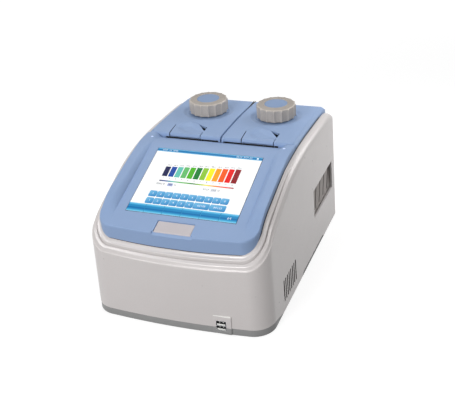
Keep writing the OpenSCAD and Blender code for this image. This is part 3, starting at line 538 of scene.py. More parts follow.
def metal(name, colour, rough=0.3, brushed=None, grain_mm=0.3, mottle=0.06):
    """Metal with a fine grain, stretched along one axis where it is brushed, and faint stains."""
    n = Nodes(name)
    plain, stained = shades(colour, 1, 1 - mottle)
    base = n.blend(n.span(n.noise(22, 5, 0.6), 0.35, 0.7, 0, 1), plain, stained)
    fine = n.noise(grain_mm, 3, 0.6, brushed)
    drift = n.span(fine, 0.3, 0.7, max(rough - 0.07, 0.02), rough + 0.07)
    return n.shader(base, drift, n.bump(fine, 0.004), Metallic=1.0)


def silver_paint():
    """Silver-grey paint, faintly warm: fine metal flakes, the paint's own orange peel at a few
    millimetres and rubbed lighter edges."""
    n = Nodes("silver_paint")
    dark, pale, cloud, rubbed = shades(tint(200, 195, 194), 0.95, 1.05, 0.965, 1.12)
    base = n.blend(n.span(n.noise(0.35, 1), 0.3, 0.7, 0, 1), dark, pale)
    base = n.blend(n.span(n.noise(60, 4), 0.35, 0.7, 0, 0.6), base, cloud)
    base = n.blend(n.worn_edge(0.2), base, rubbed)
    drift = n.span(n.noise(9, 3), 0.25, 0.75, 0.27, 0.34)
    peel = n.bump(n.noise(2.2, 2), 0.006)
    normal = n.bump(n.noise(0.3, 1), 0.0035, peel)
    return n.shader(base, drift, normal, Metallic=0.08, Specular_IOR_Level=0.4)


COVER = {"rough": 0.5, "grain_mm": 0.45, "grain_depth": 0.008, "mottle": 0.02,
         "Specular_IOR_Level": 0.25}
SILVER = silver_paint()
BLUE = moulding("blue_cover", tint(137, 160, 196), **COVER)
CAP_BLUE = moulding("blue_cap", tint(122, 144, 178), **COVER)
STRIP = moulding("base_strip_grey", tint(138, 138, 138), rough=0.5)
RUBBER = moulding("foot_rubber", tint(34, 34, 35), rough=0.8, grain_mm=0.8, grain_depth=0.03)
STEEL = metal("plated_steel", tint(215, 215, 218), rough=0.2)
SHEET = metal("zinc_sheet", tint(182, 184, 186), rough=0.38, grain_mm=2.5, mottle=0.12)
PLATE = moulding("bar_plate_grey", tint(186, 180, 183), rough=0.55, grain_depth=0.005)
# Black moulding for the black CAD parts; the same black on the gap strips, seals, latch hook, slit
# walls and socket wells is painted shade.
BLACK_AND_SHADE = moulding("black_moulding_and_shade", tint(30, 30, 32), rough=0.5)
# Matt black for the walls of the low side slots: painted shade inside them.
SHADE_MATT_BLACK = moulding("matt_black_painted_shade", tint(24, 20, 19), rough=0.8, Specular_IOR_Level=0.08)
DECK = moulding("dark_deck_coating", tint(62, 65, 68), rough=0.55, grain_mm=0.7, grain_depth=0.03)
BLOCK = metal("anodised_block", tint(205, 207, 210), rough=0.33, grain_mm=0.2, mottle=0.04)
SINK = metal("extruded_aluminium", tint(170, 172, 175), rough=0.4, brushed=(1, 0.04, 1))
CERAMIC = moulding("white_ceramic", tint(240, 236, 228), rough=0.35)
LOUVRE = moulding("louvre_grey", tint(172, 166, 163), rough=0.5)
BACK = moulding("back_plate_paint", tint(176, 173, 171), rough=0.55, grain_mm=0.9,
                grain_depth=0.03)
BRASS = metal("contact_brass", tint(214, 182, 120), rough=0.25)
RED = moulding("red_rocker", tint(150, 24, 20), rough=0.25, grain_depth=0.002)
LINER = moulding("white_liner", tint(226, 226, 222), rough=0.5)
HEATER = metal("heater_face", tint(120, 121, 125), rough=0.35)
GRIP = moulding("knob_grey", tint(184, 176, 168), grain_depth=0.02, mottle=0.16, wear=0.35,
                Metallic=0.12, Specular_IOR_Level=0.35)
# Darker grey of the knob's top band: painted shade on the top of the knob, with a coarser grain.
SHADED_GRIP_TOP = moulding("knob_top_painted_shade", tint(158, 150, 142), rough=0.5, grain_mm=0.7,
                    grain_depth=0.04, mottle=0.16, wear=0.3, Specular_IOR_Level=0.35)
WIRE = metal("spring_wire", tint(150, 150, 152))
LENS_GLASS = moulding("lamp_lens", tint(172, 190, 226), rough=0.3, grain_depth=0.0,
                      Emission_Color=(0.8, 0.88, 1), Emission_Strength=0.25)


def board_finish():
    """Green circuit board: solder-mask green with darker copper areas as a cell pattern."""
    n = Nodes("circuit_board_green")
    cells = n.add("ShaderNodeTexVoronoi", Scale=140.0, distance="MANHATTAN")
    n.join(n.object, cells.inputs["Vector"])
    tracks = n.span(cells.outputs["Distance"], 0.2, 0.24, 0, 1)
    base = n.blend(tracks, tint(24, 84, 48), tint(16, 62, 36))
    return n.shader(base, n.span(n.noise(3), 0.3, 0.7, 0.3, 0.45), n.bump(tracks, 0.03))


BOARD = board_finish()
SLOT_FINISH = {
    "silver_plastic": SILVER, "grey_plastic": STRIP, "black_rubber": RUBBER,
    "bright_steel": STEEL, "blue_plastic": BLUE, "screen_face": BLACK_AND_SHADE, "tinned_steel": SHEET,
    "pale_plate": PLATE, "lamp_lens": LENS_GLASS, "black_plastic": BLACK_AND_SHADE, "circuit_board": BOARD,
    "dark_deck": DECK, "block_metal": BLOCK, "white_ceramic": CERAMIC, "sink_metal": SINK,
    "louvre_plastic": LOUVRE, "back_paint": BACK, "pin_brass": BRASS, "switch_red": RED,
    "liner_plastic": LINER, "plate_metal": HEATER, "knob_plastic": GRIP, "spring_steel": WIRE}


def dress_frame():
    """Gives every CAD node the finish of its material slot."""
    slots = {p["node"]: p["material_slot"] for p in frame["record"]["subparts"]}
    for node, obj in frame["nodes"].items():
        finish = SLOT_FINISH[slots[node]]
        if not obj.material_slots:
            obj.data.materials.append(finish)
        for s in obj.material_slots:
            s.material = finish


# ---------------------------------------------------------------- housing and base
def side_lift(y):
    """Rise of the housing's foot along the middle of the sides, 4.5 mm at most."""
    return 4.5 * ease((y + 25) / 9) * ease((105 - y) / 9)


def wall_foot(plan):
    """Bottom edge of the housing: above the strip in front, low and lifted along the sides."""
    y = plan[:, 1]
    return mix(STRIP_TOP, 2.0, ease((y - FRONT_Y - FRONT_R) / 44)) + side_lift(y)


# Height of the seam above the grey strip in front, and the rim's turn into the back wall.
STRIP_TOP = 11.6
BACK_TURN = ease((BACKNESS - 0.6) / 0.4)
RIM_TOP = mix(curve(RIM_LINE, INNER[:, 1]), BACK_TOP, BACK_TURN)
RIM_DROP = mix(curve(RIM_FALL, INNER[:, 1]), 1.0, BACK_TURN)


def leaning(z):
    """Outer plan at the heights z, with the sides leaned in."""
    return OUTER * np.column_stack([lean(z), np.ones(len(z))])


# Socket pad: its sides, face, back, top and the joint between its grey and silver halves. Then
# the mouth of the two sockets, the foot, height and wall of each, their back end, and a place in
# front of the whole object.
PAD_X, PAD_Y, PAD_BACK, PAD_TOP, PAD_JOINT = (54, 81), -188.6, -184.2, 30.5, (11.2, 11.4)
MOUTH_X, MOUTH_Z = (58.4, 73.8), (7.0, 22.6)
SOCKET_FEET, SOCKET_H, SOCKET_WALL, SOCKET_BACK = (7.1, 14.85), 7.6, 0.35, -170.0
IN_FRONT = -195


def mouth_hole(back):
    """Opening for the sockets, from in front of the wall to the depth back."""
    return block((MOUTH_X[0], IN_FRONT, MOUTH_Z[0]), (MOUTH_X[1], back, MOUTH_Z[1]))


def port_pad():
    """Flat pad that stands out of the bowed front as it nears the corner, grey below and silver
    above, with a pale top edge that is a painted highlight."""
    (x0, x1), (grey_top, silver_foot) = PAD_X, PAD_JOINT
    for name, z0, z1, finish, slot in (
            ("low", 1.0, grey_top, STRIP, "grey_plastic"),
            ("high", silver_foot, PAD_TOP, SILVER, "silver_plastic")):
        shape = rounded_block((x0, PAD_Y, z0), (x1, PAD_BACK, z1), 0.8, 5)
        cut(make_piece("port_pad_" + name, shape, finish, "cabinet", slot=slot),
            [mouth_hole(-165)])
    # Pale strip along the pad's top edge: a painted highlight where light catches the edge.
    make_piece("port_pad_highlight_edge",
               rounded_block((x0 + 0.6, PAD_Y - 0.2, PAD_TOP - 1.0),
                             (x1 - 0.6, PAD_BACK - 0.8, PAD_TOP + 0.2), 0.45, 3),
               LINER, "cabinet", slot="liner_plastic")


def square_tube(x0, x1, y0, y1, z0, z1):
    """Four walls of a square tube that lies along Y."""
    t = SOCKET_WALL
    return [rounded_block(a, b, 0.1, 2) for a, b in (
        ((x0, y0, z0), (x1, y1, z0 + t)), ((x0, y0, z1 - t), (x1, y1, z1)),
        ((x0, y0, z0 + t), (x0 + t, y1, z1 - t)), ((x1 - t, y0, z0 + t), (x1, y1, z1 - t)))]


def sockets():
    """Two stacked sockets: bright lips, black walls behind them and a pale tongue low in each. The
    black of the walls is painted shade inside the sockets.
    """
    x0, x1, y0, back = MOUTH_X[0] + 0.1, MOUTH_X[1] - 0.1, PAD_Y - 0.2, SOCKET_BACK
    y1 = y0 + 0.5
    lips, tongues, shade_wells = [], [], []
    for z0 in SOCKET_FEET:
        z1 = z0 + SOCKET_H
        lips += square_tube(x0, x1, y0, y1, z0, z1)
        shade_wells += square_tube(x0, x1, y1, back, z0, z1)
        # The black well walls, tongue body and back wall are painted shade inside the sockets.
        shade_wells += [rounded_block((x0 + 1.8, y1 + 1.0, z0 + 0.5), (x1 - 1.8, back, z0 + 2.3), 0.2,
                                2),
                  block((x0 + 0.4, -176.0, z0 + 0.4), (x1 - 0.4, -175.0, z1 - 0.4))]
        tongues.append(rounded_block((x0 + 1.6, y1, z0 + 0.4), (x1 - 1.6, y1 + 1.0, z0 + 2.5),
                                     0.2, 2))
        tongues += [rounded_block((x, y0 + 0.8, z1 - 3.2), (x + 1.0, y0 + 1.6, z1 - 1.8), 0.2, 2)
                    for x in (x0 + 5.0, x0 + 10.2)]
    for name, shapes, finish, slot, node in (
            ("port_frames", lips, STEEL, "bright_steel", ["data_ports"]),
            ("port_tongues", tongues, LINER, "liner_plastic", ["port_tongues"]),
            ("port_shade_wells", shade_wells, BLACK_AND_SHADE, "black_plastic", [])):
        make_piece(name + "_pair", joined(*shapes), finish, "cabinet", node, slot)


# Front ends of the slots low on the sides, their length, and the wall of their black sleeves,
# whose black is painted shade inside the slots.
SLOTS, SLOT_W, SLEEVE = np.linspace(-113, -56, 8), 4.2, 0.4
# Louvre opening, its rails and its blades from front to back.
VENT_Y, VENT_Z, RAIL_Y, BLADES = (55, 165), (60, 107), (52, 168), np.linspace(68.5, 164.5, 5)


def slot_shade_sleeves():
    """Black front and rear walls of the slots, leaning with the side wall: painted shade inside
    the slots.
    """
    pts, faces = joined(*(block((129.4, a, 16.1), (134.95, b, 50.4)) for y0 in SLOTS
                          for a, b in ((y0, y0 + SLEEVE), (y0 + SLOT_W - SLEEVE, y0 + SLOT_W))))
    pts[:, 0] -= LEAN * (pts[:, 2] - FOOT) + 0.15
    return pts, faces


def louvre():
    """Blades that face forwards and lean back 13 mm as they rise the height of the opening, held
    by two rails behind the wall."""
    (y0, y1), (low, high) = RAIL_Y, VENT_Z
    shapes = [block((125.4, y0, 55.5), (128.4, y1, 59.4)),
              block((125.4, y0, 107.6), (128.4, y1, 111.0))]
    for y in BLADES:
        plan = [[130.0, y], [129.4, y + 0.9], [125.8, y - 5.6], [126.6, y - 6.6]]
        pts, faces = prism(plan, 57.0, 110.0)
        pts[:, 1] += 13 * (pts[:, 2] - low) / (high - low)
        shapes.append((pts, faces))
    pts, faces = joined(*shapes)
    pts[:, 0] -= LEAN * (pts[:, 2] - low)
    return pts, faces


def side_vents():
    for name, s in SIDES.items():
        # The slot walls' black is painted shade inside the slots.
        side_piece("slot_shade_sleeves_" + name, s, slot_shade_sleeves(), SHADE_MATT_BLACK, "cabinet",
                   slot="black_plastic")
        side_piece("louvre_" + name, s, louvre(), LOUVRE, "cabinet", ["side_louvre_" + name],
                   "louvre_plastic")


def housing():
    """Painted housing: one sheet of rows that climb the inner lip, cross the double-beaded rim and
    fall down the leaning wall to its foot, with louvre, slot, port and back openings cut through.
    Towards the back the beads fade into the quarter of a rounded square, a superellipse."""
    top, fall, foot = RIM_TOP, RIM_DROP, wall_foot(OUTER)
    y = INNER[:, 1]
    # Foot of the inner lip: 8 mm down beside the panel, level beside the lids, low at the back.
    lip = mix(mix(top - 8, 163, ease((y - 4) / 12)), 140, BACKNESS)
    rows = [ring(INNER, mix(lip, top - 1, t)) for t in (0, 0.5, 1)]
    fade, power = 0.94 * ease((y + 165) / 195), 2.3
    for u, v in through(RIM_BEADS, 72):
        z = top - mix(v, 1 - (1 - u ** power) ** (1 / power), fade) * fall
        rows.append(ring(mix(INNER, leaning(z), u), z))
    for t in np.linspace(0, 1, 17)[1:]:
        z = mix(top - fall, foot, t)
        rows.append(ring(leaning(z), z))
    under = mix(top - fall - 5, 100, BACKNESS)
    for plan, d, z in ((leaning(foot), 0.4, foot - 0.3), (leaning(foot), 2.6, foot - 0.3),
                       (leaning(foot), WALL, foot), (leaning(under), WALL, under)):
        rows.append(ring(inward(plan, d), z))
    out = 1 + 2.4 / HALF_W * (1 - BACKNESS)
    tail = mix(out, 1, limit(y / BACK_Y))
    rows.append(ring(INNER * np.column_stack([out, tail]), lip - 20 * BACKNESS))
    piece = make_piece("housing_shell", skin(rows), SILVER, "cabinet", ["upper_housing"],
                       "silver_plastic", flip=True)
    holes = [mouth_hole(SOCKET_BACK), block((-111, 180, 12), (111, 195, 148))]
    for s in SIDES.values():
        x0, x1 = sorted((s * 123, s * 137))
        holes.append(block((x0, VENT_Y[0], VENT_Z[0]), (x1, VENT_Y[1], VENT_Z[1])))
        holes += [block((x0, y0, 16), (x1, y0 + SLOT_W, 50.5)) for y0 in SLOTS]
    cut(piece, holes)


def base_strip():
    """Grey base: a closed skin of rows from the middle of the underside out to its rounded edge,
    up the strip and back in over the tray floor."""
    floor_top = 5.0
    plan = OUTER * [lean(floor_top), 1]
    top = np.maximum(1.5, wall_foot(plan) - 0.3 - side_lift(plan[:, 1]))
    rows = [ring(plan * 0, FOOT), ring(plan * 0.5, FOOT)]
    for d, z in ((1.1, FOOT), (0.6, FOOT + 0.25), (0.4, FOOT + 0.8),
                 (0.4, mix(FOOT + 0.8, top, 0.5)), (0.4, top - 0.3), (0.7, top), (3.4, top),
                 (3.5, floor_top)):
        rows.append(ring(inward(plan, d), z))
    rows += [ring(plan * 0.5, floor_top), ring(plan * 0, floor_top)]
    piece = make_piece("base_tray_strip", columns(rows), STRIP, "cabinet", ["base_tray"],
                       "grey_plastic", sharp=50)
    screws = [prism(circle(x, y, 3.2, 24), 1.0, 11.0) for x in (-118, 118)
              for y in (-120, 20, 140)]
    cut(piece, [mouth_hole(SOCKET_BACK), *screws])


def rubber_feet():
    """Four turned feet with a rounded rim and a shallow hollow underneath."""
    profile = [[0, 0.5], [7, 0.5], [7.6, 0], [9.2, 0], [10, 0.8], [10, 2.0], [0, 2.0]]
    feet = [lathe(profile, (x, y), 48) for x in (-104, 104) for y in (-150, 160)]
    make_piece("rubber_feet_turned", joined(*feet), RUBBER, "cabinet", ["rubber_feet"],
               "black_rubber")


# ---------------------------------------------------------------- touch panel
def panel_plane(y):
    """Height of the screen plane, rolling over behind the screen to meet the lids."""
    flat = SCREEN_Z + (y - SCREEN_Y) * SLOPE
    w = SEAM_Y - ROLL_Y
    over = cubic(limit((y - ROLL_Y) / w), w, SCREEN_Z + (ROLL_Y - SCREEN_Y) * SLOPE,
                 PANEL_BACK_Z, SLOPE, PANEL_BACK_SLOPE)
    return np.where(y <= ROLL_Y, flat, over)


def panel_top(x, y):
    """Screen plane plus the raised shoulders outside the two creases, each a fine groove."""
    t = limit((np.abs(x) - CREASE_X) / mix(9.0, 13.0, ease((-80 - y) / 50)))
    groove = np.exp(-((np.abs(x) - CREASE_X) / 1.3) ** 2) * ease((y + 160) / 20)
    return (panel_plane(y) + curve(SHOULDER_RISE, y) * t * (2 - t)
            - 0.55 * groove * ease((-4 - y) / 20))


PANEL_EDGE = outline(COVER_X, PANEL_FRONT, PANEL_BOW, PANEL_R, SEAM_Y, 3, 3, 110)
SCREEN_GAP = 0.3
SCREEN_EDGE = outline(SCREEN_W / 2 + SCREEN_GAP, SCREEN_Y - SCREEN_GAP, 0, 22,
                      SCREEN_Y + SCREEN_RUN + SCREEN_GAP, 20, 20, 58, True)


def on_panel(plan, drop=0.0):
    return ring(plan, panel_top(plan[:, 0], plan[:, 1]) - drop)


def control_panel():
    """Blue panel cover: rows from the foot of its skirt up and over a rounded edge, in across the
    shoulders and creases to the screen opening, and down inside it."""
    e, edge = PANEL_EDGE, inward(PANEL_EDGE, 1.4)
    f = limit((PANEL_FRONT + 28 - e[:, 1]) / 28)
    skirt = e + np.column_stack([0 * f, PANEL_LEAN * f])
    foot = curve(RIM_LINE, skirt[:, 1]) - 6
    drop = mix(1.6, 4.2, ease((np.abs(e[:, 0]) - 96) / 20))
    top = on_panel(e)[:, 2] - drop
    rows = [ring(mix(skirt, e, t), mix(foot, top, t)) for t in np.linspace(0, 1, 8)]
    for a in np.radians(np.linspace(0, 90, 8)[1:]):
        rows.append(on_panel(inward(e, 1.4 * (1 - math.cos(a))), drop * (1 - math.sin(a))))
    rows += [on_panel(mix(edge, SCREEN_EDGE, t)) for t in np.linspace(0, 1, 61)[1:]]
    rows += [on_panel(SCREEN_EDGE, 1.0), on_panel(SCREEN_EDGE, WALL)]
    for t in np.linspace(1, 0.2, 12)[1:]:
        rows.append(on_panel(mix(edge, SCREEN_EDGE, t), WALL + 1.2 * limit((0.56 - t) / 0.36)))
    rows.append(ring(inward(skirt, 2.6), foot))
    piece = make_piece("control_panel_cover", skin(rows), BLUE, "cabinet", ["control_panel"],
                       "blue_plastic")
    z = float(panel_plane(BAR_Y))
    slot, slot_faces = block((-27.9, BAR_Y, z - 1.8), (27.3, -157.1, z + 4))
    slot[:, 2] += (slot[:, 1] - BAR_Y) * SLOPE
    lamps = [prism(circle(s * LAMP_X, LAMP_Y, 2.1, 32), 180, 210) for s in SIDES.values()]
    cut(piece, [(slot, slot_faces), *lamps])
    notch, faces = block((-29.8, -184, z - 12), (29.8, BAR_Y + 0.1, z + 4))
    low = notch[:, 2] < z
    notch[low, 2] = np.where(notch[low, 1] < -180, z - 10.5, z - 1.1)
    cut(piece, [(notch, faces)])


def seam_shade_strips():
    """Black strips in the gaps behind the panel and round it: thin walls whose tops follow the
    edges beside them a little lower. Their black is painted shade in those gaps."""
    x = np.linspace(-114, 114, 115)
    top = panel_top(x, np.full(len(x), SEAM_Y)) - mix(1.9, 2.6, ease((np.abs(x) - 96) / 12))
    across = [np.column_stack([x, np.full(len(x), SEAM_Y + d)]) for d in (0.62, 0.1)]
    half = (INNER[:, 1] < 150) & (RIM_TOP > 100)
    order = np.argsort((STEPS[half] + HALF_N) % len(STEPS))
    line, height = INNER[half][order], RIM_TOP[half][order]
    way = inward(INNER, 1.0)[half][order] - line
    around = [line + way * 0.1, line + way * (SEAM - 0.15)]
    for name, shape in (("seam_shade_strip", strip_wall(*across, top, 184.0)),
                        ("rim_shade_strip", strip_wall(*around, height + 0.8, height - 7))):
        make_piece(name, shape, BLACK_AND_SHADE, "cabinet", slot="black_plastic")


def bar_plate():
    """Pale plate below the screen, sheared to the panel's slope and a little lower at the back:
    rings of a rectangle that draw in and rise round its bevel, the front bevel the widest."""
    rings = []
    for d, h in ((0.0, -1.7), (0.0, -0.9), (0.15, -0.35), (0.5, -0.08), (0.9, 0.0), (1.6, 0.02)):
        x, y0, y1 = 26.9 - d, BAR_Y - 0.5 + 1.5 * d, -158.1 - d
        rings.append([[-x, y0, h], [x, y0, h], [x, y1, h], [-x, y1, h]])
    pts, faces = columns(rings)
    pts[:, 2] += float(panel_plane(BAR_Y)) + 0.15 + (pts[:, 1] - BAR_Y) * (SLOPE - 0.04)
    top = 4 * (len(rings) - 1)
    faces = faces.tolist() + [[3, 2, 1, 0], [top, top + 1, top + 2, top + 3]]
    make_piece("bar_plate", (pts, faces), PLATE, "cabinet", ["panel_plate"], "pale_plate",
               sharp=20)


def status_lights():
    """Small domed lenses beside the seam."""
    z = float(panel_top(np.array(LAMP_X), np.array(LAMP_Y)))
    profile = [[0, z + 0.35], [0.9, z + 0.28], [1.6, z + 0.05], [2.0, z - 0.4], [2.0, z - 12],
               [0, z - 12]]
    for name, s in SIDES.items():
        make_piece("light_lens_" + name, lathe(profile, (s * LAMP_X, LAMP_Y), 32), LENS_GLASS,
                   "cabinet", ["status_light_" + name], "lamp_lens", flip=True)


# ---------------------------------------------------------------- screen
INK = "ink"
# Height in millimetres of the picture's patches and of its numbers above the glass, and of each
# part above the one before it.
PATCH_LIFT, DIGIT_LIFT, PART_LIFT = 0.06, 0.12, 0.0004


def on_glass(u, v, lift):
    """Point of the glass at the shares u across and v up its face, lift above it."""
    y = SCREEN_Y + SCREEN_RUN * np.asarray(v, float)
    x = SCREEN_W * (np.asarray(u, float) - 0.5)
    return np.stack([x, y, SCREEN_Z + (y - SCREEN_Y) * SLOPE + lift], axis=-1)


def touch_glass():
    """Smooth dark-edged glass slab that fills the opening."""
    half = SCREEN_W / 2
    pts, faces = rounded_block((-half, SCREEN_Y, SCREEN_Z - 1.8),
                               (half, SCREEN_Y + SCREEN_RUN, SCREEN_Z), 0.35, 2)
    pts[:, 2] += (pts[:, 1] - SCREEN_Y) * SLOPE
    n = Nodes("glass_edge")
    finish = n.shader(tint(52, 62, 84), n.span(n.noise(30), 0.3, 0.7, 0.2, 0.26),
                      n.bump(n.noise(12), 0.001))
    make_piece("touch_screen", (pts, faces), finish, "cabinet", ["touch_glass"], "screen_face")


def picture_finish():
    """Lit picture: colour from the piece's own ink attribute, partly given off as light."""
    n = Nodes("display_picture")
    ink = n.add("ShaderNodeAttribute", attribute_name=INK).outputs["Color"]
    fine = n.blend(n.span(n.noise(0.4, 0), 0.3, 0.7, 0, 0.04), ink, (0.0, 0.0, 0.0))
    return n.shader(fine, n.span(n.noise(30), 0.3, 0.7, 0.28, 0.34), None, Emission_Color=fine,
                    Emission_Strength=0.06, Specular_IOR_Level=0.06)


def patch(u0, u1, v0, v1, *inks):
    """Rectangle of the picture whose colour runs through the inks from its foot to its head."""
    n = max(2, len(inks))
    pts = np.concatenate([on_glass([u0, u1], [v, v], PATCH_LIFT) for v in np.linspace(v0, v1, n)])
    ink = np.repeat([inks[min(i, len(inks) - 1)] for i in range(n)], 2, axis=0)
    return pts, [[2 * i, 2 * i + 1, 2 * i + 3, 2 * i + 2] for i in range(n - 1)], ink


def rule(u0, u1, v0, v1, inks):
    """Thin strip of the picture whose colour runs through the inks from left to right."""
    n = len(inks)
    us = np.linspace(u0, u1, n)
    pts = np.concatenate([on_glass(us, np.full(n, v), PATCH_LIFT) for v in (v0, v1)])
    return pts, [[i, i + 1, i + 1 + n, i + n] for i in range(n - 1)], np.tile(inks, (2, 1))


def key(u0, u1, v0, v1):
    """Key of the picture with cut corners, pale at its head and deeper at its foot."""
    c, d = 0.005, 0.02
    inks = np.repeat([KEY_LOW, KEY_MID, KEY_HIGH, KEY_MID], 2, axis=0)
    u = [u0 + c, u1 - c, u1, u1, u1 - c, u0 + c, u0, u0]
    v = [v0, v0, v0 + d, v1 - d, v1, v1, v1 - d, v0 + d]
    return on_glass(u, v, PATCH_LIFT), [list(range(8))], inks


def digits(words, u, v, size, colour):
    """Plain numbers laid on the glass, made a mesh from the built-in letter shapes."""
    data = bpy.data.curves.new("digits", "FONT")
    data.body, data.size, data.align_x, data.align_y = words, size, "CENTER", "CENTER"
    data.resolution_u = 2
    obj = add_object("digits", data)
    graph = bpy.context.evaluated_depsgraph_get()
    graph.update()
    mesh = bpy.data.meshes.new_from_object(obj.evaluated_get(graph))
    xyz = np.zeros(len(mesh.vertices) * 3)
    mesh.vertices.foreach_get("co", xyz)
    x, y, _ = xyz.reshape(-1, 3).T
    faces = [list(p.vertices) for p in mesh.polygons]
    bpy.data.objects.remove(obj)
    bpy.data.meshes.remove(mesh)
    pts = on_glass(u + x / SCREEN_W, v + y * math.cos(TILT) / SCREEN_RUN, DIGIT_LIFT)
    return pts, faces, np.tile(np.array(colour), (len(pts), 1))


BARS = [tint(*c) for c in (
    (24, 28, 76), (24, 72, 160), (98, 192, 176), (98, 184, 104), (76, 176, 30), (14, 122, 44),
    (140, 194, 48), (248, 236, 22), (250, 158, 16), (240, 88, 16), (230, 14, 14), (138, 14, 26))]
SHEET_WHITE = tint(250, 251, 250)
DEEP, MIDDLE = tint(20, 104, 164), tint(36, 134, 190)
SKY, PALE = tint(78, 178, 220), tint(140, 208, 236)
KEY_LOW, KEY_MID, KEY_HIGH = tint(52, 130, 190), tint(84, 160, 210), tint(120, 188, 226)
DARK_INK, GREY_INK, GLOW_INK = tint(34, 40, 88), tint(84, 88, 104), tint(226, 240, 250)

# Layout of the page in shares of its width and height: its edges, the left end, pitch and width
# of the bars, the left end, pitch and height of the keys, and the buttons' dividing lines. Each
# row of keys is found by the height of its foot: the column of each key and how many it spans.
PAGE_LOW, PAGE_HIGH = 0.003, 0.997
BAR_U, BAR_STEP, BAR_WIDE = 0.163, 0.0583, 0.049
KEY_U, KEY_STEP, KEY_TALL = 0.131, 0.0733, 0.09
KEY_ROWS = {0.243: [(i, 1) for i in range(10)],
            0.138: [(i, 1) for i in range(6)] + [(6, 2), (8, 2)]}
DIVIDERS = (0.162, 0.33, 0.498, 0.668, 0.84)


def page_parts():
    """Generic block-temperature page: a title bar, twelve coloured bars that grow to the right
    with plain numbers, a thin rainbow rule, two value boxes, two rows of keys and a foot bar of
    six buttons."""
    parts = [patch(PAGE_LOW, PAGE_HIGH, 0.004, 0.996, SHEET_WHITE),
             patch(PAGE_LOW, PAGE_HIGH, 0.948, 0.997, SKY, MIDDLE, DEEP, MIDDLE, PALE),
             patch(PAGE_LOW, PAGE_HIGH, 0.004, 0.128, PALE, SKY, MIDDLE, DEEP, MIDDLE, MIDDLE,
                   SKY, PALE),
             digits("0427  16  2048", 0.125, 0.973, 4.0, GLOW_INK),
             digits("08:15  2021-03", 0.83, 0.973, 4.0, GLOW_INK),
             patch(0.945, 0.962, 0.962, 0.985, GLOW_INK)]
    for i, colour in enumerate(BARS):
        u, top = BAR_U + i * BAR_STEP, 0.715 + 0.0058 * i
        parts += [patch(u, u + BAR_WIDE, 0.563, top, colour),
                  digits(f"{(i * 7 + 4) % 60 + 35}.0", u + 0.024, top + 0.022, 3.4, GREY_INK),
                  digits(str(i + 1), u + 0.024, 0.537, 3.4, GREY_INK)]
    parts.append(rule(BAR_U, 0.853, 0.484, 0.501, BARS))
    parts += [digits("0042 8", 0.19, 0.442, 4.6, GREY_INK),
              patch(0.256, 0.306, 0.42, 0.465, tint(168, 178, 216)),
              digits("48", 0.281, 0.443, 5.0, DARK_INK), digits("55", 0.325, 0.443, 3.6, GREY_INK),
              digits("0127", 0.618, 0.43, 4.6, GREY_INK),
              patch(0.662, 0.712, 0.407, 0.452, tint(222, 225, 232)),
              digits("95.0", 0.687, 0.43, 3.8, GREY_INK), digits("60", 0.732, 0.43, 3.4, GREY_INK)]
    for v, row in KEY_ROWS.items():
        for i, wide in row:
            u = KEY_U + i * KEY_STEP
            label = str((i + 1) % 10) if wide == 1 else f"{i}0{i + 4}5"
            parts += [key(u, u + KEY_STEP * wide - 0.0008, v, v + KEY_TALL),
                      digits(label, u + 0.0367 * wide, v + 0.047, 5.0, GLOW_INK)]
    for u in DIVIDERS:
        parts += [patch(u - 0.0015, u + 0.0015, 0.006, 0.124, tint(18, 96, 152)),
                  patch(u + 0.0015, u + 0.003, 0.006, 0.124, SKY)]
    return parts + [digits("64", 0.925, 0.06, 6.0, GLOW_INK)]


def screen_picture():
    """The page as one mesh, each part a hair above the one before, with an ink for each point."""
    parts = page_parts()
    pts, faces = joined(*((p, f) for p, f, _ in parts))
    layer_of = np.repeat(np.arange(len(parts)), [len(p) for p, _, _ in parts])
    pts[:, 2] += PART_LIFT * layer_of
    ink = np.concatenate([np.asarray(c, float).reshape(-1, 3) for _, _, c in parts])
    mesh = bpy.data.meshes.new("screen_picture")
    mesh.from_pydata((pts * MM).tolist(), [], faces)
    layer = mesh.color_attributes.new(INK, "FLOAT_COLOR", "POINT")
    layer.data.foreach_set("color", np.column_stack([ink, np.ones(len(ink))]).ravel())
    mesh.materials.append(picture_finish())
    piece = add_object("screen_picture", mesh)
    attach(piece, "cabinet")


# ---------------------------------------------------------------- lids, latches and knobs
def edge_fall(d, radius, depth):
    """Fall of a rounded edge: an ellipse quarter of the given radius and depth at distance d."""
    t = 1 - limit(d / radius)
    return depth * (1 - np.sqrt(np.maximum(0, 1 - t * t)))


def knob_dish(r):
    """Depth of the dish at the distance r from the spindle, with a deeper well under the knob."""
    return 1.5 * ease((42 - r) / 8) + 0.8 * ease((33.2 - r) / 1.8)


def crown(y):
    return curve(LID_CROWN, y)


def front_fall(y):
    """Fall of the rounded front edge of a lid and its latch."""
    return edge_fall(y - LID_FRONT, 1.8, 2.6)


def lid_top(x, y):
    """Lid surface at x outwards from the centre line: the crown, less a wide chamfer along the
    outer side, rounded front, back and inner edges and the shallow dish round the knob."""
    side = COVER_X - x
    chamfer = 0.62 * np.maximum(0, 5.4 - side) + edge_fall(side, 0.8, 1.2)
    falls = chamfer, edge_fall(x - LID_IN, 1.3, 1.6), front_fall(y), edge_fall(LID_BACK - y, 3, 4)
    from_spindle = np.hypot(x - BAY_X, y - KNOB_Y)
    return crown(y) - functools.reduce(np.maximum, falls) - knob_dish(from_spindle)


# Points along each side of a lid's plan.
EDGE_N = 44


def lid_loop(d):
    """Rectangular plan of a lid shrunk by d, from its inner front corner round by the outside."""
    a, b = np.array([LID_IN + d, LID_FRONT + d]), np.array([COVER_X - d, LID_BACK - d])
    t, one = np.linspace(0, 1, EDGE_N, endpoint=False), np.ones(EDGE_N)
    return np.concatenate([np.column_stack(side) for side in (
        (mix(a[0], b[0], t), a[1] * one), (b[0] * one, mix(a[1], b[1], t)),
        (mix(b[0], a[0], t), b[1] * one), (a[0] * one, mix(b[1], a[1], t)))])


def on_lid(plan):
    return ring(plan, lid_top(plan[:, 0], plan[:, 1]))


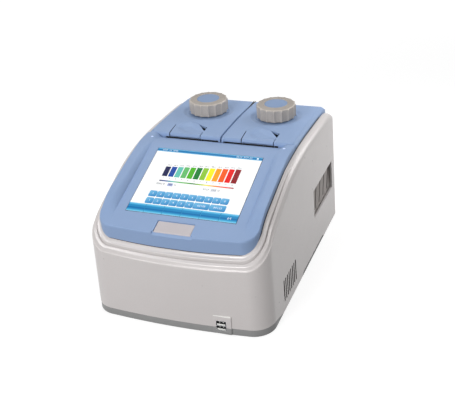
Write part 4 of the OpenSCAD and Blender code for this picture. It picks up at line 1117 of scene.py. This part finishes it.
def rounded_plan(points, radii, n=8):
    """Closed plan through corner points, each corner replaced by n points of a parabola that
    leaves its two sides the corner's radius away."""
    p = np.asarray(points, float)
    out = []
    for i, r in enumerate(radii):
        a, b, c = p[i - 1], p[i], p[(i + 1) % len(p)]
        u = b + (a - b) / np.linalg.norm(a - b) * r
        v = b + (c - b) / np.linalg.norm(c - b) * r
        t = np.linspace(0, 1, n)[:, None]
        out.append((1 - t) ** 2 * u + 2 * t * (1 - t) * b + t * t * v if r else b[None])
    return np.concatenate(out)


def even(plan, step):
    """Closed plan with points added along its sides, no more than the step apart."""
    out = []
    for a, b in zip(plan, np.roll(plan, -1, axis=0)):
        n = max(1, math.ceil(np.linalg.norm(b - a) / step))
        out.append(a + (b - a) * np.linspace(0, 1, n, endpoint=False)[:, None])
    return np.concatenate(out)


# Corners of the hole in the lid and of the latch, seen from the front with X from the latch's
# middle, and the radius of each. The latch leaves narrow slits at its sides, a wedge at its right
# rear edge for a finger and a close joint along the rest of its pointed back.
HOLE_CORNERS = [[-25.9, 17], [25.5, 17], [25.5, 51.6], [8.4, 60.6], [-9.5, 71.0], [-28.2, 54.0]]
HOLE_RADII = [0, 0, 1.0, 2, 8, 3]
LATCH_CORNERS = [[-24.7, 21.2], [24.2, 21.2], [24.4, 41.0], [19.6, 46.6], [8.2, 60.5],
                 [-9.5, 70.85], [-28.05, 54.3], [-27.0, 50.0]]
LATCH_RADII = [0, 0, 1.5, 1.5, 1.5, 8, 0.5, 3]


def thumb_dish(x, y):
    """Depth of the thumb dish, x seen from the front: deepest in the middle, bounded in front by
    a round arc and behind by the two edges of the pointed back."""
    front = ease((33.2 - np.hypot(x - 6.7, y - 58.1)) / 11)
    left = ease(((x + 26.3) * 0.792 - (y - 51.4) * 0.61) / 15)
    right = ease((71.4 - y - (x + 10.9) * 0.6) / 1.166 / 13)
    return 2.9 * front * left * right


def lid_cover(name, s):
    """Blue lid cover: rows from its foot up the sides, over the edge, in across the crown and
    dish to the spindle hole, cut for the latch and the hinge brackets."""
    plan, edge, inner = lid_loop(0), lid_loop(6.0), lid_loop(WALL)
    centre = np.array([BAY_X, KNOB_Y])
    foot = LID_FOOT + 5 * ease((plan[:, 1] - 160) / 20)
    top = on_lid(plan)[:, 2]
    rows = [ring(plan, mix(foot, top, t)) for t in np.linspace(0, 1, 7)]
    rows += [on_lid(lid_loop(d)) for d in (0.1, 0.25, 0.5, 0.9, 1.4, 2.0, 3.0, 4.2, 5.2, 6.0)]
    spoke = edge - centre
    way = spoke / np.linalg.norm(spoke, axis=1)[:, None]
    rows += [on_lid(mix(edge, centre + way * 42, t)) for t in np.linspace(0, 1, 26)[1:]]
    rows += [on_lid(centre + way * r) for r in (*np.linspace(42, 30.6, 20)[1:], 20, 9.5)]
    for r in (9.5, 20, 32, 42):
        p = centre + way * r
        rows.append(ring(p, crown(p[:, 1]) - knob_dish(r) - WALL))
    rows.append(ring(edge, crown(edge[:, 1]) - WALL))
    rows.append(ring(inner, crown(inner[:, 1]) - np.where(inner[:, 0] > COVER_X - 4, 7, 3.6)))
    rows.append(ring(inner, foot))
    piece = side_piece("lid_cover_" + name, s, skin(rows), BLUE, f"lid_{name}_body",
                       ["lid_" + name], "blue_plastic")
    holes = [block((x - 0.8, 169, 171), (x + 4.8, 187.5, 188)) for x in (BAY_X - 38, BAY_X + 34)]
    holes.append(block((4, 15, 160), (90, 24.9, LIP_FOOT)))
    cut(piece, [mirrored(hole, s) for hole in holes])
    cut(piece, [prism(latch_hole(s), LIP_FOOT - 8, 215)])


def latch_hole(s):
    """Plan of the hole for the latch in the lid on the side s."""
    return rounded_plan(HOLE_CORNERS, HOLE_RADII) + [s * LATCH_X, 0]


def lid_shade_seal(name, s):
    """Black seal under the lid's front edge on both sides of the latch, and along the lid's
    inner edge: its black is painted shade in the gaps there."""
    front = [rounded_block((x0, 25.0, LID_FOOT), (x1, 26.6, 196.8), 0.5, 2)
             for x0, x1 in ((5, LATCH_X - 25.0), (LATCH_X + 24.8, 91))]
    strip = rounded_block((LID_IN - 0.12, 25, 176), (LID_IN + 0.3, 184, 194.2), 0.1, 2)
    side_piece("lid_seal_" + name, s, joined(*front, strip), BLACK_AND_SHADE, f"lid_{name}_body",
               slot="black_plastic")


def latch_shade_sleeves(name, s):
    """Black walls that line the slits beside the latch, a little below the lid's top: their black
    is painted shade in the slits.
    """
    hole = even(latch_hole(s), 1.5)
    x, y = hole[:, 0] - s * LATCH_X, hole[:, 1]
    for side, way in (("in", -1), ("out", 1)):
        line = hole[(y > 22) & (y < 53) & (x * way > 0)]
        line = line[np.argsort(line[:, 1])]
        top = crown(line[:, 1]) - front_fall(line[:, 1]) - 0.5
        shape = strip_wall(line + [0.05 * way, 0], line - [0.3 * way, 0], top, LIP_FOOT - 1)
        make_piece(f"latch_shade_sleeve_{side}_{name}", shape, BLACK_AND_SHADE, f"lid_{name}_body",
                   slot="black_plastic", flip=way > 0)


def lid_ribs(name, s):
    """Ribs and bosses inside the lid: a collar round the spindle, a block and a barrel at each
    hinge arm and a block at each end of the latch's pin."""
    inside = [lathe([[6.1, 187], [11, 187], [11, 194.2], [6.1, 194.2], [6.1, 187]],
                    (BAY_X, KNOB_Y), 48)]
    for x in (BAY_X - 31, BAY_X + 24):
        inside += [rounded_block((x, 172, 181), (x + 7, 180, 191.6), 0.6, 2),
                   rod(x, x + 7, 176, 181, 6.0)]
    inside += [rounded_block((x, 27.4, 185), (x + 5, 38, 197.4), 0.6, 2)
               for x in (LATCH_X - 30.6, LATCH_X + 25.6)]
    side_piece("lid_ribs_" + name, s, joined(*inside), BLUE, f"lid_{name}_body",
               slot="blue_plastic")


def latch_lever(name, s):
    """Latch lever: rows from the underside up its edge and in over the top to its middle, with a
    rounded front lip, a barrel round its pin and a black hook behind the lip, whose black is
    painted shade under the lip."""
    plan = even(rounded_plan(LATCH_CORNERS, LATCH_RADII), 1.1)
    middle = np.array([-2.0, 42.0])

    def top(p, drop=0.0):
        x, y = p.T
        return ring(p, crown(y) - front_fall(y) - thumb_dish(x, y) - drop)

    under = top(plan, 5.0)
    under[:, 2] = np.maximum(under[:, 2], LIP_FOOT)
    rows = [np.tile([*middle, LIP_FOOT], (len(plan), 1)), mix(under, [*middle, LIP_FOOT], 0.4),
            under]
    for drop, t in ((0.5, 0), (0.28, 0.003), (0.1, 0.009)):
        rows.append(top(mix(plan, middle, t), drop))
    for t in (0.02, 0.04, 0.07, *np.linspace(0.1, 1, 36)):
        rows.append(top(mix(plan, middle, t)))
    lip = rounded_block((-24.7, 21.2, LIP_FOOT), (24.2, 24.2, 196.5), 0.5, 3)
    web = rounded_block((-24.4, 27, 189), (23.9, 33, 196.5), 0.4, 2)
    lever = joined(columns(rows), lip, rod(-24.6, 24.1, 30, 190, 4.4), web)
    # Hook behind the lip in black: painted shade under the lip.
    shade_hook = rounded_block((-24.7, 24.6, 174), (24.3, 24.95, 195.2), 0.15, 2)
    for piece, (pts, faces), finish, node, slot in (
            ("latch_lever_", lever, BLUE, ["latch_" + name], "blue_plastic"),
            ("latch_shade_hook_", shade_hook, BLACK_AND_SHADE, [], "black_plastic")):
        make_piece(piece + name, (pts + [s * LATCH_X, 0, 0], faces), finish,
                   f"latch_{name}_body", node, slot)


FLUTES, FLUTE_DEPTH = 16, 1.6
# Degrees by which each knob stands turned at rest, and by which its pointer does.
KNOB_TURN, POINTER_TURN = {-1: -2.8, 1: 11.1}, math.radians(14)


def knob_grip(name, s):
    """Fluted grip: shallow hollows between crisp ridges, the radius less the flute's depth times
    one less the third power of t, with t from -1 to 1 across a flute, chamfered above and below,
    with a recess in its top."""
    z0, z1 = KNOB_Z - 0.1, KNOB_Z + KNOB_H
    a = turns(FLUTES * 24)
    t = (a - math.radians(KNOB_TURN[s])) * FLUTES / (2 * np.pi) % 1 * 2 - 1
    edge = KNOB_R - FLUTE_DEPTH * np.maximum(0, 1 - np.abs(t / 0.94) ** 3)
    # Rows of [radius, height]: outside, the radius is the fluted edge less an inset.
    rows = [(24.0, z0), (edge - 1.1, z0), (edge - 0.3, z0 + 0.8), (edge - 0.15, z0 + 1.1)]
    rows += [(edge - 0.15 * (1 - h), z0 + 1.1 + (z1 - z0 - 3.1) * h)
             for h in np.linspace(0, 1, 9)[1:]]
    rows += [(edge - 0.12, z1 - 1.8), (edge - 0.9, z1 - 1.05), (edge - 1.15, z1 - 0.95),
             (28.2, z1 - 1.0), (26.5, z1 - 1.0), (21.5, z1 - 0.65), (CAP_R + 0.9, z1 - 0.35),
             (CAP_R + 0.5, z1 - 0.4), (CAP_R + 0.35, z1 - 0.5), (CAP_R + 0.35, z1 - 1.8),
             (0.0, z1 - 1.8)]
    pts, faces = columns([ring(np.column_stack([s * BAY_X + r * np.cos(a),
                                                KNOB_Y + r * np.sin(a)]), z) for r, z in rows])
    make_piece("knob_grip_" + name, (pts, faces.tolist() + [list(range(len(a)))[::-1]]), GRIP,
               f"knob_{name}_body", ["knob_" + name], "knob_plastic", sharp=30)


def knob(name, s):
    """Screw knob: the fluted grip, a darker band on its top that rises inwards, its darker grey
    painted shade, the blue disc in its recess and a small pale pointer at the back."""
    knob_grip(name, s)
    z1, body = KNOB_Z + KNOB_H, f"knob_{name}_body"
    shade_band = [[28.4, z1 - 1.2], [28.4, z1 - 0.95], [28.0, z1 - 0.8], [26.5, z1 - 0.65],
            [21.5, z1 - 0.3], [CAP_R + 1.1, z1], [CAP_R + 0.7, z1 - 0.1],
            [CAP_R + 0.6, z1 - 1.2], [28.4, z1 - 1.2]]
    disc = [[0, z1 - 1.6], [CAP_R, z1 - 1.6], [CAP_R, z1 - 0.6], [CAP_R - 0.3, z1 - 0.3],
            [CAP_R - 0.9, z1 - 0.15], [8, z1 - 0.05], [0, z1 - 0.05]]
    for piece, profile, finish, node, slot in (
            ("knob_shade_band_", shade_band, SHADED_GRIP_TOP, [], "knob_plastic"),
            ("knob_disc_", disc, CAP_BLUE, ["knob_cap_" + name], "blue_plastic")):
        make_piece(piece + name, lathe(profile, (s * BAY_X, KNOB_Y)), finish, body, node, slot)
    pts, faces = rounded_block((-1.1, 21.5, z1 - 1.3), (1.1, 29.0, z1 - 0.55), 0.2, 3)
    pts[:, 2] -= 0.07 * (pts[:, 1] - 25)
    c, d = math.cos(POINTER_TURN), math.sin(POINTER_TURN)
    pts = pts @ [[c, d, 0], [-d, c, 0], [0, 0, 1]] + [s * BAY_X, KNOB_Y, 0]
    make_piece("knob_pointer_" + name, (pts, faces), LINER, body, slot="liner_plastic")


# ---------------------------------------------------------------- room and light
# Each lamp's place, aim and width in metres, and its power in watts.
CENTRE = (0, 0, 0.1)
LAMPS = {"key_left": ((-1.2, -1.1, 1.6), CENTRE, 0.6, 11.6),
         "fill_front": ((-0.3, -1.9, 0.8), CENTRE, 0.6, 19),
         "fill_right": ((0.75, -1.7, 0.8), CENTRE, 0.5, 3.5),
         "top_back": ((-0.5, 0.9, 1.7), CENTRE, 0.8, 9.5),
         "rear_right": ((0.40, 0.45, 0.45), (0.13, 0.15, 0.14), 0.42, 1.7),
         "upper_right": ((0.8, -0.2, 1.5), CENTRE, 0.6, 4)}
# Strength of the world's light on the object, and of the floor to the camera near the object and
# far from it, where it is white like the background. Distances are in metres.
AMBIENT, FLOOR_NEAR, FLOOR_FAR, NEAR, FAR = 0.14, 0.75, 1.0, 0.8, 2.2
FLOOR_HALF, FLOOR_DROP, FLOOR_GREY = 6, 0.0002, (0.36, 0.36, 0.36, 1)


def lamp(name, place, aim, size, power):
    """Round soft lamp that shines from its place towards its aim."""
    data = bpy.data.lights.new(name, "AREA")
    data.shape, data.size, data.energy = "DISK", size, power
    obj = add_object(name, data)
    obj.location = place
    way = Vector(np.subtract(aim, place))
    obj.rotation_euler = way.to_track_quat("-Z", "Y").to_euler()
    obj.visible_camera = False


def floor_finish():
    """Pale matt floor that also glows to the camera and in reflections, more further away."""
    n = Nodes("pale_floor")
    matt = n.add("ShaderNodeBsdfDiffuse", Color=FLOOR_GREY)
    away = n.add("ShaderNodeVectorMath", operation="LENGTH")
    n.join(n.object, away.inputs[0])
    level = n.add("ShaderNodeMath", operation="MULTIPLY")
    n.join(n.seen(), level.inputs[0])
    n.join(n.span(away.outputs["Value"], NEAR, FAR, FLOOR_NEAR, FLOOR_FAR), level.inputs[1])
    glow = n.add("ShaderNodeEmission")
    n.join(level.outputs[0], glow.inputs["Strength"])
    both = n.add("ShaderNodeAddShader")
    n.join(matt.outputs[0], both.inputs[0])
    n.join(glow.outputs[0], both.inputs[1])
    n.join(both.outputs[0], n.out.inputs["Surface"])
    return n.owner


def room():
    """Pale floor that keeps the shadow near the object and is white further away, a white
    background to the camera and in reflections, and soft studio lamps."""
    h, z = FLOOR_HALF, -FLOOR_DROP
    mesh = bpy.data.meshes.new("floor")
    mesh.from_pydata([(-h, -h, z), (h, -h, z), (h, h, z), (-h, h, z)], [], [(0, 1, 2, 3)])
    mesh.materials.append(floor_finish())
    add_object("floor", mesh)
    n = Nodes("studio", "World")
    back = n.add("ShaderNodeBackground", Color=(1, 1, 1, 1))
    n.join(n.span(n.seen(), 0, 1, AMBIENT, 1), back.inputs["Strength"])
    n.join(back.outputs[0], n.out.inputs["Surface"])
    bpy.context.scene.world = n.owner
    for name, settings in LAMPS.items():
        lamp(name, *settings)
    bpy.context.scene.view_settings.view_transform = "Standard"


set_camera()
dress_frame()
for make in (housing, side_vents, base_strip, port_pad, sockets, rubber_feet, control_panel,
             seam_shade_strips, bar_plate, status_lights, touch_glass, screen_picture):
    make()
for side_name, sign in SIDES.items():
    for make in (lid_cover, lid_shade_seal, latch_shade_sleeves, lid_ribs, latch_lever, knob):
        make(side_name, sign)
room()
